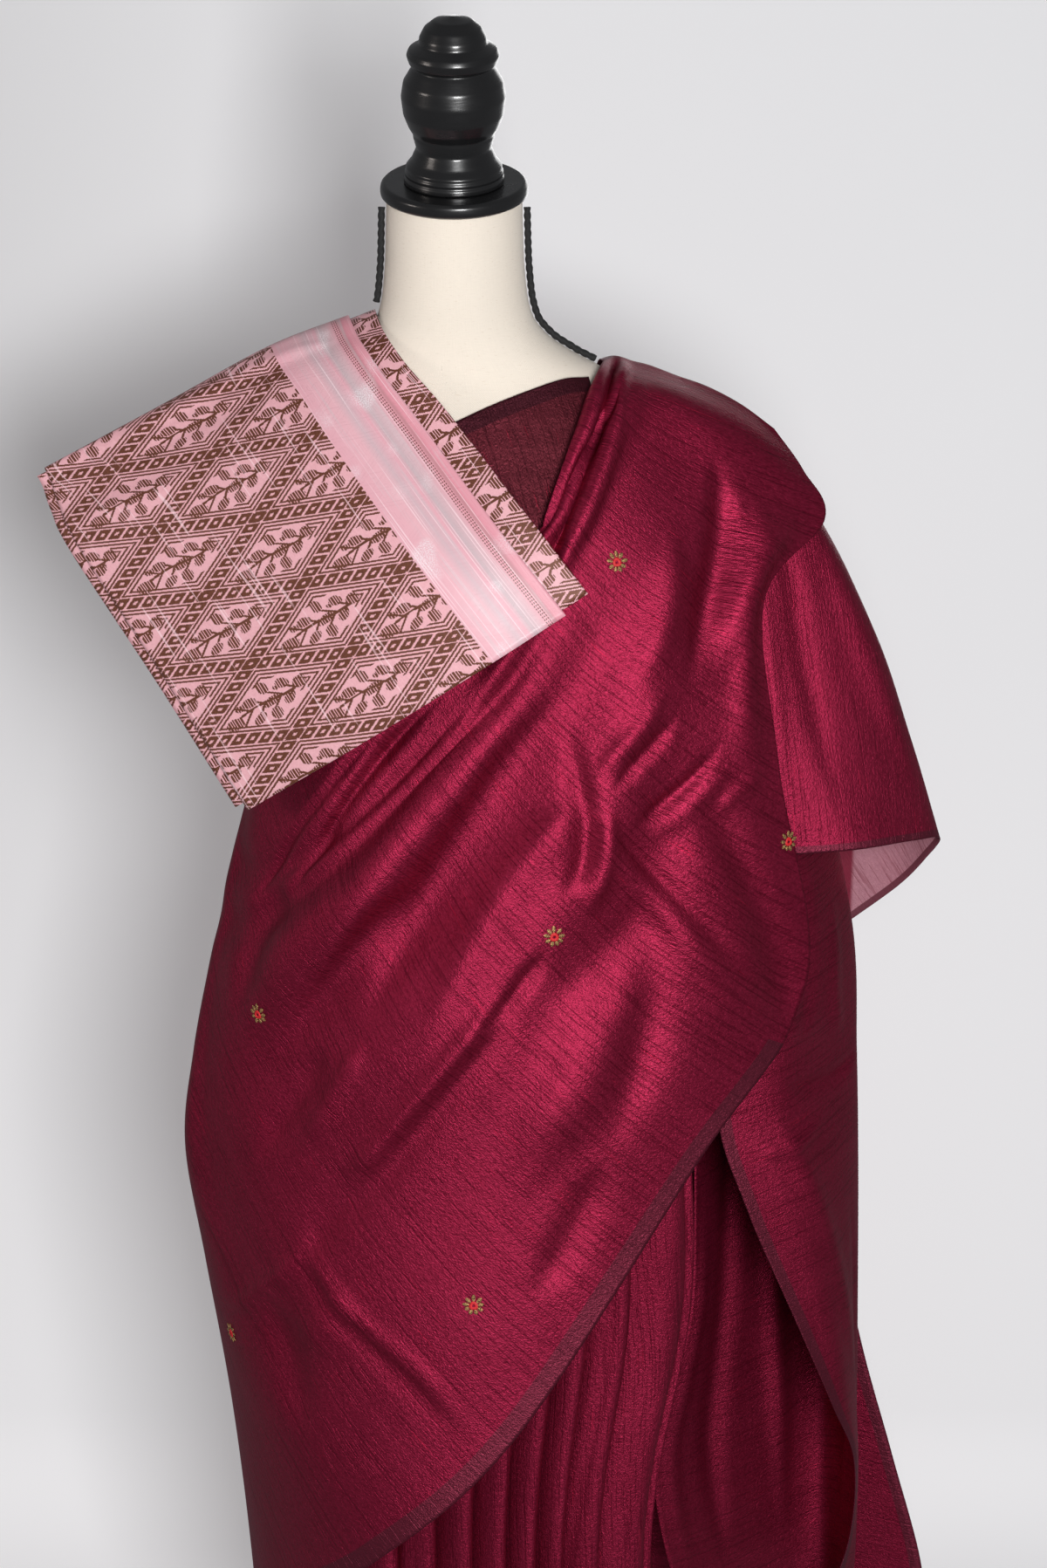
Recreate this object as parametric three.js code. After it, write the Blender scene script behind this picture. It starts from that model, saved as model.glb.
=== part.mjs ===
// A banarasi saree, draped on a dress form with its folded blouse piece over the other shoulder.
// Millimetres, +Z up, +X to the viewer's right, -Y towards the viewer. The origin is the middle of the stand's foot.
import * as THREE from "three";

// Driving dimensions
const CLOTH_WALL = 1.8; // saree wall
const FOLDED_WALL = 2.4; // one fold of the blouse piece
const SEAM_GAP = 0.3; // between pieces that meet
const FORM_BOTTOM = 700; // lower end of the torso
const FORM_TOP = 1487; // top of the neck
const CAP_TILT = 12; // degrees that the neck's top leans forward
const BASE_RADIUS = 125;
const BASE_THICK = 16;
const POLE_RADIUS = 14;
const CORD_RADIUS = 2.8;
const HEM_HEIGHT = 14; // lower edge of the skirt

const LINEN = { color: 0xe3d9c9, roughness: 0.9, metalness: 0 };
const BLACK_WOOD = { color: 0x111113, roughness: 0.35, metalness: 0 };
const MAROON_SILK = { color: 0x6a1230, roughness: 0.5, metalness: 0 };
const SHEER_SILK = { color: 0x5a1c2c, roughness: 0.6, metalness: 0 };
const PINK_BROCADE = { color: 0xc98d92, roughness: 0.6, metalness: 0 };
const BLACK_CORD = { color: 0x151515, roughness: 0.8, metalness: 0 };
const BLACK_STEEL = { color: 0x1a1a1c, roughness: 0.45, metalness: 0.6 };

// Torso sections: height, half width, depth in front, depth behind, middle's y
const TORSO = [
  [700, 156, 96, 116, 0],
  [750, 164, 102, 122, 0],
  [805, 166, 103, 124, 0],
  [860, 158, 98, 116, 0],
  [920, 142, 92, 103, 0],
  [985, 124, 86, 91, 0],
  [1040, 132, 94, 95, 0],
  [1100, 148, 111, 103, 0],
  [1160, 167, 125, 109, 0],
  [1200, 181, 120, 112, 3],
  [1240, 189, 112, 106, 6],
  [1275, 187, 99, 93, 10],
  [1300, 176, 86, 80, 10],
  [1320, 158, 75, 68, 10],
  [1336, 136, 66, 60, 10],
  [1349, 116, 60, 54, 9],
  [1358, 98, 58, 53, 8],
  [1371, 78, 57, 54, 7],
  [1386, 64.5, 56, 55, 5],
  [1405, 58.5, 55, 55, 2],
  [1435, 55.5, 54.5, 55, 0],
  [FORM_TOP, 54, 54, 54, 0],
];

// Skirt sections: height, half width left, half width right, depth in front, depth behind, fold depth
const SKIRT = [
  [992, 126.8, 126.8, 88.6, 93.4, 0],
  [975, 128, 128, 89, 95, 0],
  [920, 152, 150, 98, 112, 1],
  [805, 184, 174, 114, 132, 2],
  [700, 196, 182, 122, 140, 3],
  [560, 196, 178, 126, 144, 4],
  [400, 166, 158, 130, 146, 5],
  [200, 156, 168, 138, 148, 9],
  [HEM_HEIGHT, 180, 196, 152, 162, 12],
];
const SKIRT_FOLDS = 12;

// Front pleats: height, left end, right end, middle's y, share of the fold depth
const PLEATS = [
  [950, -34, 120, -102.7, 0.4],
  [880, -60, 158, -130, 0.6],
  [800, -82, 180, -150, 0.8],
  [700, -92, 194, -160, 1],
  [576, -92, 194, -166, 1],
  [430, -88, 168, -172, 1],
  [334, -86, 162, -176, 1],
  [150, -90, 168, -181, 1.1],
  [HEM_HEIGHT, -94, 176, -190, 1.2],
];
// Each pleat: its width as a share of the front, fold depth, lean to the right
const PLEAT_FOLDS = [
  [0.15, 9, 4.9],
  [0.13, 10, 6.3],
  [0.12, 11, 7],
  [0.11, 12, 7.7],
  [0.1, 12, 7],
  [0.09, 12, 7],
  [0.12, 11, 9.8],
  [0.18, 7, 9.8],
];
const PLEAT_BEND = 0.0016; // how fast the pleats turn back round the body
const PLEAT_SWELL = 0.19; // how far a pleat's rounds bulge past its middle, as a share of its width

// Front panel: a row for each fold line from the shoulder's crest, down across the chest to the left side, and
// round the back, from the neck edge (first row) to the arm fold and lower selvage (last row). [x, y, z] points.
const PANEL = [
  [[120, 25, 1350], [112, -30, 1342], [98, -74, 1307], [65, -116, 1238], [14, -138, 1176], [-48, -136, 1128],
    [-105, -124, 1081], [-152, -78, 1036], [-168, -42, 1012], [-174, -5, 985], [-150, 88, 1010], [-40, 132, 1000],
    [110, 118, 990]],
  [[131, 25, 1353], [124, -32, 1343], [113, -74, 1307], [86, -118, 1239], [31, -146, 1150], [-34, -148, 1076],
    [-102, -138, 1009], [-160, -86, 958], [-182, -46, 940], [-190, -10, 927], [-160, 100, 930], [-40, 144, 915],
    [120, 126, 905]],
  [[144, 25, 1349], [138, -32, 1339], [130, -71, 1300], [104, -118, 1232], [48, -151, 1136], [-28, -159, 1042],
    [-102, -152, 961], [-167, -98, 889], [-196, -52, 864], [-206, -12, 851], [-172, 110, 840], [-45, 156, 820],
    [130, 134, 810]],
  [[159, 25, 1345], [155, -30, 1334], [151, -63, 1295], [129, -116, 1218], [69, -158, 1102], [0, -170, 990],
    [-85, -166, 889], [-168, -114, 800], [-208, -58, 776], [-222, -15, 769], [-182, 116, 730], [-50, 164, 705],
    [138, 138, 700]],
  [[180, 25, 1337], [179, -26, 1326], [180, -52, 1282], [162, -108, 1202], [117, -154, 1072], [62, -176, 956],
    [-36, -186, 833], [-143, -138, 716], [-206, -72, 690], [-232, -18, 683], [-188, 120, 600], [-52, 170, 570],
    [144, 142, 570]],
  [[205, 25, 1328], [211, -18, 1310], [220, -40, 1265], [199, -94, 1178], [173, -142, 1047], [145, -164, 937],
    [41, -196, 785], [-88, -180, 624], [-172, -112, 590], [-218, -26, 580], [-184, 118, 450], [-52, 172, 420],
    [146, 146, 430]],
  [[233, 25, 1313], [245, -6, 1290], [260, -24, 1244], [229, -80, 1171], [222, -118, 1044], [222, -138, 899],
    [125, -190, 749], [-12, -208, 568], [-128, -158, 478], [-197, -34, 455], [-172, 118, 290], [-52, 174, 270],
    [148, 148, 290]],
  [[260, 25, 1293], [283, 12, 1262], [300, -4, 1224], [248, -64, 1171], [261, -92, 1040], [288, -92, 853],
    [197, -166, 728], [48, -218, 505], [-68, -200, 384], [-166, -66, 262], [-174, 118, 130], [-52, 176, 110],
    [150, 150, 140]],
];
// Ridges (+) and troughs (-) of the panel: from row, column, to row, column, width in rows, height in mm
const PANEL_FOLDS = [
  [0.4, 0.2, 0.3, 4.4, 0.36, 5],
  [1.0, 0.2, 0.9, 3.9, 0.24, -6],
  [1.6, 0.3, 1.5, 4.4, 0.36, 6],
  [2.1, 4.0, 1.5, 8.8, 0.26, -7],
  [1.5, 4.6, 0.9, 8.4, 0.24, -6],
  [3.3, 3.6, 3.1, 7.4, 0.5, -9],
  [2.6, 4.4, 2.4, 7.0, 0.42, 8],
  [4.3, 3.2, 4.2, 6.4, 0.55, 8],
  [5.0, 4.0, 4.9, 5.6, 0.4, -8],
  [5.7, 4.2, 6.95, 5.25, 0.32, -7],
  [6.2, 2.2, 6.3, 4.0, 0.4, 6],
];
const PANEL_SIDE_SEAM = 9.5; // column where the front panel meets the back wrap

// Sheer layer at the neck: rows from the neck edge down, [x, z] points laid on the torso, and its lift off it
const NECK_LAYER = [
  [[107, 1346], [83, 1346], [41, 1334], [3, 1319], [-40, 1300]],
  [[112, 1330], [90, 1318], [58, 1300], [20, 1284], [-22, 1262]],
  [[120, 1300], [100, 1282], [70, 1262], [36, 1242], [-6, 1222]],
  [[122, 1270], [104, 1244], [78, 1222], [48, 1202], [12, 1184]],
];
const NECK_LIFT = { front: 2.5, shoulder: 4 };

// Shoulder cape: rows from the shoulder to its hem, points from the front inner edge round the arm side to the back
const CAPE = [
  [[205, -25, 1274], [219, -18, 1284], [232, -6, 1294], [240, 8, 1298.6], [240, 24, 1299.8], [232, 38, 1292.4],
    [219, 50, 1281], [205, 60, 1268]],
  [[228, -46, 1196], [256, -38, 1206], [284, -20, 1210], [303, 6, 1210], [301, 30, 1206], [286, 52, 1200],
    [260, 67, 1194], [232, 77, 1188]],
  [[242, -62, 1110], [272, -52, 1118], [312, -30, 1122], [346, 0, 1122], [342, 34, 1112], [316, 62, 1100],
    [284, 84, 1088], [254, 98, 1078]],
  [[252, -74, 1030], [296, -62, 1036], [344, -32, 1040], [376, 2, 1038], [371, 38, 1018], [346, 68, 996],
    [312, 94, 972], [276, 110, 948]],
  [[260, -80, 961], [326, -70, 963], [377, -30, 958], [404, 5, 949], [396, 40, 919], [378, 72, 885],
    [340, 102, 843], [304, 120, 808]],
];

// Hanging side margin: rows downwards, points from its front selvage round the right fold to the inner back edge
const PALLU_SIDE = [
  [[187, -8, 1236], [192, 6, 1243], [194.4, 20, 1246], [193.6, 34, 1246], [190.4, 46, 1243], [185.4, 57, 1236],
    [179.4, 66, 1228]],
  [[228, -20, 1120], [250, 0, 1120], [266, 24, 1120], [262, 48, 1120], [242, 62, 1120], [218, 70, 1120],
    [196, 78, 1120]],
  [[234, -42, 1000], [270, -16, 1000], [302, 28, 1000], [298, 58, 1000], [264, 82, 1000], [224, 92, 1000],
    [192, 92, 1000]],
  [[232, -52, 853], [284, -28, 853], [334, 50, 853], [329, 80, 853], [284, 102, 853], [232, 98, 853], [196, 82, 853]],
  [[218, -60, 730], [280, -32, 738], [340, 46, 744], [335, 78, 740], [292, 110, 735], [244, 96, 730], [206, 62, 730]],
  [[244, -60, 640], [302, -32, 636], [345, 40, 634], [340, 76, 636], [304, 114, 640], [254, 92, 640], [204, 36, 640]],
  [[291, -45, 524], [326, -20, 520], [349, 38, 512], [344, 76, 516], [316, 118, 520], [260, 88, 522], [203, 30, 520]],
  [[324, -26, 440], [340, -6, 434], [352, 40, 424], [346, 78, 428], [322, 122, 432], [262, 88, 434], [188, 24, 438]],
  [[347, 2, 372], [351, 14, 364], [354, 40, 352], [348, 78, 352], [326, 124, 352], [262, 88, 352], [171, 22, 356]],
  [[345, 8, 292], [349, 22, 280], [354, 42, 268], [349, 80, 262], [328, 124, 256], [264, 90, 256], [184, 30, 262]],
  [[322, 12, 214], [336, 26, 206], [352, 46, 196], [350, 82, 190], [330, 122, 186], [268, 94, 188], [206, 44, 196]],
];

// Loose end down the back: rows downwards, points from its inner edge to the arm side; the first is the crest row
const PALLU_BACK = [
  [[120, 26.3, 1350], [131, 26.3, 1353], [144, 26.3, 1349], [159, 26.3, 1345], [180, 26.3, 1337], [205, 26.3, 1328],
    [233, 26.3, 1313], [260, 26.3, 1293]],
  [[114, 70, 1334], [127, 72, 1336], [142, 71, 1332], [158, 72, 1328], [179, 70, 1320], [205, 66, 1310],
    [233, 60, 1296], [259, 54, 1276]],
  [[96, 122, 1240], [112, 126, 1240], [131, 123, 1238], [151, 127, 1234], [175, 124, 1230], [204, 119, 1224],
    [234, 108, 1216], [263, 94, 1208]],
  [[66, 130, 1060], [88, 140, 1060], [114, 134, 1060], [142, 142, 1058], [172, 136, 1056], [208, 142, 1052],
    [244, 134, 1048], [280, 134, 1044]],
  [[40, 162, 850], [70, 170, 850], [102, 160, 850], [136, 172, 850], [172, 162, 850], [212, 172, 850],
    [254, 162, 850], [298, 158, 850]],
  [[14, 184, 600], [50, 194, 600], [88, 182, 600], [128, 198, 600], [170, 184, 600], [216, 198, 600],
    [268, 182, 600], [326, 176, 600]],
  [[0, 188, 420], [40, 202, 420], [82, 186, 420], [126, 206, 420], [172, 188, 420], [226, 206, 420],
    [292, 186, 420], [364, 166, 420]],
  [[-8, 190, 300], [34, 208, 300], [78, 188, 300], [124, 212, 300], [174, 190, 300], [232, 212, 300],
    [306, 188, 300], [397, 160, 300]],
  [[-12, 192, 186], [30, 212, 184], [76, 190, 184], [124, 218, 184], [176, 192, 184], [238, 216, 184],
    [316, 190, 184], [428, 152, 184]],
  [[-12, 193, 114], [30, 213, 112], [76, 192, 112], [124, 219, 112], [176, 194, 112], [238, 217, 112],
    [316, 190, 112], [428, 152, 112]],
];

// Blouse piece: rows from the front lower edge over the shoulder to the back lower edge, points from the neck side
const BLOUSE_TOP = [
  [[88, -160, 1184], [23, -169, 1143], [-69, -160, 1082], [-165, -130, 1016]],
  [[35, -136, 1248], [-34, -143, 1211], [-131, -116, 1166], [-232, -85, 1111]],
  [[-25, -88, 1320], [-93, -88, 1290], [-195, -64, 1249], [-303, -38, 1208]],
  [[-57, -62, 1357], [-118, -52, 1334], [-214, -34, 1288], [-321, -16, 1239]],
  [[-76, -32, 1379], [-136, -24, 1354], [-226, -14, 1308], [-328, -6, 1256]],
  [[-86, 12, 1388.6], [-151, 12, 1363], [-235, 10, 1317], [-333, 6, 1264]],
  [[-80, 80, 1340], [-140, 82, 1312], [-222, 72, 1268], [-310, 54, 1216]],
  [[-56, 124, 1240], [-112, 128, 1212], [-190, 112, 1170], [-262, 84, 1124]],
  [[-20, 142, 1120], [-76, 146, 1096], [-146, 132, 1058], [-206, 104, 1020]],
];
// The fold beneath it: how far below, and its ends on the net of the outer fold (rows, then points)
const BLOUSE_UNDER = { lift: -3.4, rows: [0.06, 7.94], points: [-0.31, 3.08] };

// Seam cords, laid down the sides of the neck: heights of their upper and lower ends
const CORDS = { seam_cord_right: [1, 1478, 1351], seam_cord_left: [-1, 1478, 1401] };

// Turned profiles: [radius, height above the cap plate's underside]
const PLATE = [[0, 0], [56, 0], [58.5, 2], [59, 5], [58.5, 9.5], [56, 12], [0, 12]];
const FINIAL = [
  [0, 12.3], [40, 12.3], [40, 16.5], [38.6, 18], [39.4, 20.5], [37.8, 23], [38.4, 25], [34, 30.5], [29.8, 40],
  [32.2, 49.5], [32.2, 52], [35.8, 58], [39.7, 68], [41.3, 82], [39.4, 94], [34, 103], [31.5, 106.5], [34.6, 109],
  [36.6, 115.5], [34.8, 120], [27, 124.5], [26.3, 129.5], [22.5, 137], [15, 143], [0, 146],
];
const FOOT = [[0, 0], [BASE_RADIUS - 2, 0], [BASE_RADIUS, 2], [BASE_RADIUS, BASE_THICK - 5],
  [BASE_RADIUS - 8, BASE_THICK], [30, BASE_THICK], [28, BASE_THICK + 14], [18, BASE_THICK + 20], [0, BASE_THICK + 20]];

const group = new THREE.Group();

function addPiece(name, geometry, look) {
  const mesh = new THREE.Mesh(geometry, new THREE.MeshStandardMaterial({ ...look, side: THREE.DoubleSide }));
  mesh.name = name;
  group.add(mesh);
  return mesh;
}

// Smooth curve through a list of rows (arrays of numbers) at the place f, where whole numbers are the rows.
function throughRows(rows, f) {
  const last = rows.length - 1;
  const i = Math.min(Math.max(Math.floor(f), 0), last - 1);
  const t = f - i;
  const at = (k) => rows[Math.min(Math.max(k, 0), last)];
  const a = at(i - 1);
  const b = at(i);
  const c = at(i + 1);
  const d = at(i + 2);
  if (t < 0 || t > 1) {
    return b.map((v, k) => (t < 0 ? v + (c[k] - v) * t : c[k] + (c[k] - v) * (t - 1)));
  }
  return b.map((v, k) => {
    const m0 = i === 0 ? c[k] - v : (c[k] - a[k]) / 2;
    const m1 = i === last - 1 ? c[k] - v : (d[k] - v) / 2;
    const t2 = t * t;
    const t3 = t2 * t;
    return v * (2 * t3 - 3 * t2 + 1) + m0 * (t3 - 2 * t2 + t) + c[k] * (3 * t2 - 2 * t3) + m1 * (t3 - t2);
  });
}

// A table's row at the height z, where the first column is the height.
function sectionAt(table, z) {
  const down = table[0][0] > table[1][0];
  let i = 0;
  while (i < table.length - 2 && (down ? z < table[i + 1][0] : z > table[i + 1][0])) {
    i += 1;
  }
  return throughRows(table, i + (z - table[i][0]) / (table[i + 1][0] - table[i][0]));
}

// A point of a net of [x, y, z] points, row place s and column place t.
function netPoint(net, s, t) {
  return new THREE.Vector3(...throughRows(net.map((row) => throughRows(row, t)), s));
}

function spread(count, from, to) {
  return Array.from({ length: count + 1 }, (unused, i) => from + ((to - from) * i) / count);
}

function wallNormal(surface, u, v, stepU, stepV) {
  const du = surface(u + stepU, v).sub(surface(u - stepU, v));
  const dv = surface(u, v + stepV).sub(surface(u, v - stepV));
  return du.cross(dv).normalize();
}

function closedGeometry(positions, triangles) {
  const geometry = new THREE.BufferGeometry();
  let volume = 0;
  for (let i = 0; i < triangles.length; i += 3) {
    const [a, b, c] = [0, 1, 2].map((k) => new THREE.Vector3(...positions[triangles[i + k]]));
    volume += a.dot(b.cross(c));
  }
  if (volume < 0) {
    triangles.reverse();
  }
  geometry.setAttribute("position", new THREE.Float32BufferAttribute(positions.flat(), 3));
  geometry.setIndex(triangles);
  geometry.computeVertexNormals();
  return geometry;
}

// A closed cloth wall: the surface moved half a wall to each side along its normal, joined along its edges.
// With around set, the last column joins the first, and only the two ends have edges.
function clothWall(surface, us, vs, wall, around = false) {
  const positions = [];
  const triangles = [];
  const columns = vs.length;
  const rows = us.length;
  const stepU = (us[rows - 1] - us[0]) * 1e-3;
  const stepV = (vs[columns - 1] - vs[0]) * 1e-3;
  for (const side of [1, -1]) {
    for (const u of us) {
      for (const v of vs) {
        const normal = wallNormal(surface, u, v, stepU, stepV);
        positions.push(surface(u, v).addScaledVector(normal, (side * wall) / 2).toArray());
      }
    }
  }
  const at = (side, i, j) => side * rows * columns + i * columns + (j % columns);
  const quad = (a, b, c, d) => triangles.push(a, b, c, a, c, d);
  const across = around ? columns : columns - 1;
  for (let i = 0; i < rows - 1; i += 1) {
    for (let j = 0; j < across; j += 1) {
      quad(at(0, i, j), at(0, i + 1, j), at(0, i + 1, j + 1), at(0, i, j + 1));
      quad(at(1, i, j), at(1, i, j + 1), at(1, i + 1, j + 1), at(1, i + 1, j));
    }
  }
  for (let j = 0; j < across; j += 1) {
    quad(at(0, 0, j), at(0, 0, j + 1), at(1, 0, j + 1), at(1, 0, j));
    quad(at(0, rows - 1, j + 1), at(0, rows - 1, j), at(1, rows - 1, j), at(1, rows - 1, j + 1));
  }
  for (let i = 0; i < rows - 1 && !around; i += 1) {
    quad(at(0, i + 1, 0), at(0, i, 0), at(1, i, 0), at(1, i + 1, 0));
    quad(at(0, i, across), at(0, i + 1, across), at(1, i + 1, across), at(1, i, across));
  }
  return closedGeometry(positions, triangles);
}

// A solid through closed rings of points, capped at both ends.
function ringSolid(rings) {
  const count = rings[0].length;
  const positions = rings.flat();
  const triangles = [];
  for (let i = 0; i < rings.length - 1; i += 1) {
    for (let j = 0; j < count; j += 1) {
      const a = i * count + j;
      const b = i * count + ((j + 1) % count);
      triangles.push(a, b, b + count, a, b + count, a + count);
    }
  }
  for (const [ring, turned] of [[0, true], [rings.length - 1, false]]) {
    const middle = positions.length;
    const points = rings[ring];
    positions.push([0, 1, 2].map((k) => points.reduce((sum, p) => sum + p[k], 0) / count));
    for (let j = 0; j < count; j += 1) {
      const a = ring * count + j;
      const b = ring * count + ((j + 1) % count);
      triangles.push(...(turned ? [b, a, middle] : [a, b, middle]));
    }
  }
  return closedGeometry(positions, triangles);
}

// A point of the torso's skin at the angle a (0 in front, growing to the viewer's right).
function torsoPoint(a, z) {
  const [, half, front, back, middle] = sectionAt(TORSO, z);
  const depth = Math.cos(a) > 0 ? front : back;
  const lean = Math.tan(THREE.MathUtils.degToRad(CAP_TILT)) * THREE.MathUtils.smoothstep(z, 1400, FORM_TOP);
  const y = middle - depth * Math.cos(a);
  return [half * Math.sin(a), y, z + y * lean];
}

function torsoFront(x, z) {
  const [, half, front, , middle] = sectionAt(TORSO, z);
  return middle - front * Math.sqrt(Math.max(1 - (x / half) ** 2, 0.04));
}

// Height of a fold of the panel at its net place: each fold fades out at its ends and to its sides.
function foldHeight(folds, s, t) {
  return folds.reduce((sum, [s0, t0, s1, t1, width, height]) => {
    const along = (t - t0) / (t1 - t0);
    const middle = s0 + (s1 - s0) * Math.min(Math.max(along, 0), 1);
    const ends = THREE.MathUtils.smoothstep(along, -0.15, 0.15) * (1 - THREE.MathUtils.smoothstep(along, 0.75, 1.15));
    return sum + height * ends * Math.exp(-(((s - middle) / width) ** 2));
  }, 0);
}

function panelPoint(s, t) {
  const step = 0.02;
  const point = netPoint(PANEL, s, t);
  const du = netPoint(PANEL, s + step, t).sub(netPoint(PANEL, s - step, t));
  const dv = netPoint(PANEL, s, t + step).sub(netPoint(PANEL, s, t - step));
  const edge = Math.min(Math.max(Math.min(t / 0.3, (9.3 - t) / 0.6), 0), 1);
  return point.addScaledVector(dv.cross(du).normalize(), edge * foldHeight(PANEL_FOLDS, s, t));
}

function makeStand() {
  addPiece("stand_base", new THREE.LatheGeometry(FOOT.map((p) => new THREE.Vector2(...p)), 28).rotateX(Math.PI / 2),
    BLACK_STEEL);
  const from = BASE_THICK + 20 + SEAM_GAP;
  const length = FORM_BOTTOM - SEAM_GAP - from;
  const pole = new THREE.CylinderGeometry(POLE_RADIUS, POLE_RADIUS, length, 20).rotateX(Math.PI / 2);
  addPiece("stand_pole", pole.translate(0, 0, from + length / 2), BLACK_STEEL);
}

function makeForm() {
  const turns = spread(28, 0, 2 * Math.PI).slice(0, -1);
  const rings = TORSO.map(([z]) => turns.map((a) => torsoPoint(a, z)));
  addPiece("form_torso", ringSolid(rings), LINEN);
  const tilt = THREE.MathUtils.degToRad(CAP_TILT);
  for (const [name, profile] of [["neck_cap_plate", PLATE], ["finial_knob", FINIAL]]) {
    const turned = new THREE.LatheGeometry(profile.map((p) => new THREE.Vector2(...p)), 22).rotateX(Math.PI / 2);
    addPiece(name, turned.rotateX(tilt).translate(0, 0, FORM_TOP + SEAM_GAP / Math.cos(tilt)), BLACK_WOOD);
  }
}

function makeCords() {
  const skin = (z, a) => new THREE.Vector3(...torsoPoint(a, z));
  for (const [name, [side, top, bottom]] of Object.entries(CORDS)) {
    const points = spread(10, top, bottom).map((z) => {
      const out = wallNormal(skin, z, (side * Math.PI) / 2, 1, 0.01);
      const reach = Math.sign(out.x) * side * (CORD_RADIUS + SEAM_GAP + 0.6);
      return skin(z, (side * Math.PI) / 2).addScaledVector(out, reach);
    });
    const round = new THREE.Shape().absarc(0, 0, CORD_RADIUS, 0, 2 * Math.PI, false);
    const path = new THREE.CatmullRomCurve3(points);
    addPiece(name, new THREE.ExtrudeGeometry(round, { steps: 18, curveSegments: 4, extrudePath: path }), BLACK_CORD);
  }
}

function skirtPoint(z, a) {
  const [, left, right, front, back, fold] = sectionAt(SKIRT, z);
  const half = Math.sin(a) > 0 ? right : left;
  const depth = Math.cos(a) > 0 ? front : back;
  const wave = fold * Math.cos(SKIRT_FOLDS * a + 1.3 * Math.sin(2 * a));
  return new THREE.Vector3((half + wave) * Math.sin(a), -(depth + wave) * Math.cos(a), z);
}

function makeSkirt() {
  const heights = [992, 960, 900, 805, 700, 560, 400, 200, HEM_HEIGHT];
  const turns = spread(60, 0, 2 * Math.PI).slice(0, -1);
  addPiece("saree_skirt", clothWall(skirtPoint, heights, turns, CLOTH_WALL, true), MAROON_SILK);
}

// A point of the pleats: halves of f are the fronts of the pleats, which lean to the right over the next one.
function pleatPoint(z, f) {
  const [, left, right, middle, share] = sectionAt(PLEATS, z);
  const k = Math.min(Math.max(Math.floor(f), 0), PLEAT_FOLDS.length - 1);
  const turn = 2 * Math.PI * (f - k);
  const before = PLEAT_FOLDS.slice(0, k).reduce((sum, p) => sum + p[0], 0);
  const [, depth, lean] = throughRows(PLEAT_FOLDS, Math.min(Math.max(f - 0.5, 0), PLEAT_FOLDS.length - 1));
  const width = PLEAT_FOLDS[k][0] * (right - left);
  const ends = Math.min(1, Math.min(f, PLEAT_FOLDS.length - f) * 2);
  const out = -Math.cos(turn) * ends;
  const x = left + before * (right - left) + width * (f - k - PLEAT_SWELL * Math.sin(turn) * ends) + lean * share * out;
  return new THREE.Vector3(x, middle + PLEAT_BEND * (x - 40) ** 2 - out * share * depth, z);
}

function makePleats() {
  const heights = [950, 880, 800, 700, 576, 430, 334, 150, HEM_HEIGHT];
  const places = spread(PLEAT_FOLDS.length * 6, 0, PLEAT_FOLDS.length);
  addPiece("saree_front_pleats", clothWall(pleatPoint, heights, places, CLOTH_WALL), MAROON_SILK);
}

function makePanel() {
  const rows = spread(20, 0, 7);
  const columns = spread(28, 0, PANEL_SIDE_SEAM);
  addPiece("saree_front_panel", clothWall(panelPoint, rows, columns, CLOTH_WALL), MAROON_SILK);
  const behind = spread(8, PANEL_SIDE_SEAM + 0.008, 12);
  addPiece("saree_back_wrap", clothWall(panelPoint, rows, behind, CLOTH_WALL), MAROON_SILK);
}

function makeNeckLayer() {
  const surface = (s, t) => {
    const [x, z] = throughRows(NECK_LAYER.map((row) => throughRows(row, t)), s);
    const lift = NECK_LIFT.front + NECK_LIFT.shoulder * Math.max(x / 110, 0) ** 3;
    return new THREE.Vector3(x, torsoFront(x, z) - lift, z);
  };
  addPiece("saree_neck_layer", clothWall(surface, spread(6, 0, 3), spread(8, 0, 4), CLOTH_WALL), SHEER_SILK);
}

function makeHanging() {
  for (const [name, net, rows, columns] of [
    ["saree_shoulder_cape", CAPE, 8, 14],
    ["saree_pallu_side", PALLU_SIDE, 14, 14],
    ["saree_pallu_back", PALLU_BACK, 12, 21],
  ]) {
    const surface = (s, t) => netPoint(net, s, t);
    const places = [spread(rows, 0, net.length - 1), spread(columns, 0, net[0].length - 1)];
    addPiece(name, clothWall(surface, ...places, CLOTH_WALL), MAROON_SILK);
  }
}

function makeBlousePiece() {
  const top = (s, t) => netPoint(BLOUSE_TOP, s, t);
  const across = spread(8, 0, BLOUSE_TOP[0].length - 1);
  addPiece("blouse_piece_top", clothWall(top, spread(18, 0, BLOUSE_TOP.length - 1), across, FOLDED_WALL), PINK_BROCADE);
  const { lift, rows, points } = BLOUSE_UNDER;
  const under = (s, t) => top(s, t).addScaledVector(wallNormal(top, s, t, 0.02, 0.02), lift);
  const beneath = clothWall(under, spread(18, ...rows), spread(9, ...points), FOLDED_WALL);
  addPiece("blouse_piece_under", beneath, PINK_BROCADE);
}

makeStand();
makeForm();
makeCords();
makeSkirt();
makePleats();
makePanel();
makeNeckLayer();
makeHanging();
makeBlousePiece();

export default group;
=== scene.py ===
"""A banarasi saree on a dress form.

Crimson raw silk with zari buttis is pleated, wrapped and carried over one shoulder; its brocade blouse piece
lies folded over the other. Lengths in the tables are millimetres, +Z up, -Y towards the viewer.
"""
import math

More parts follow.
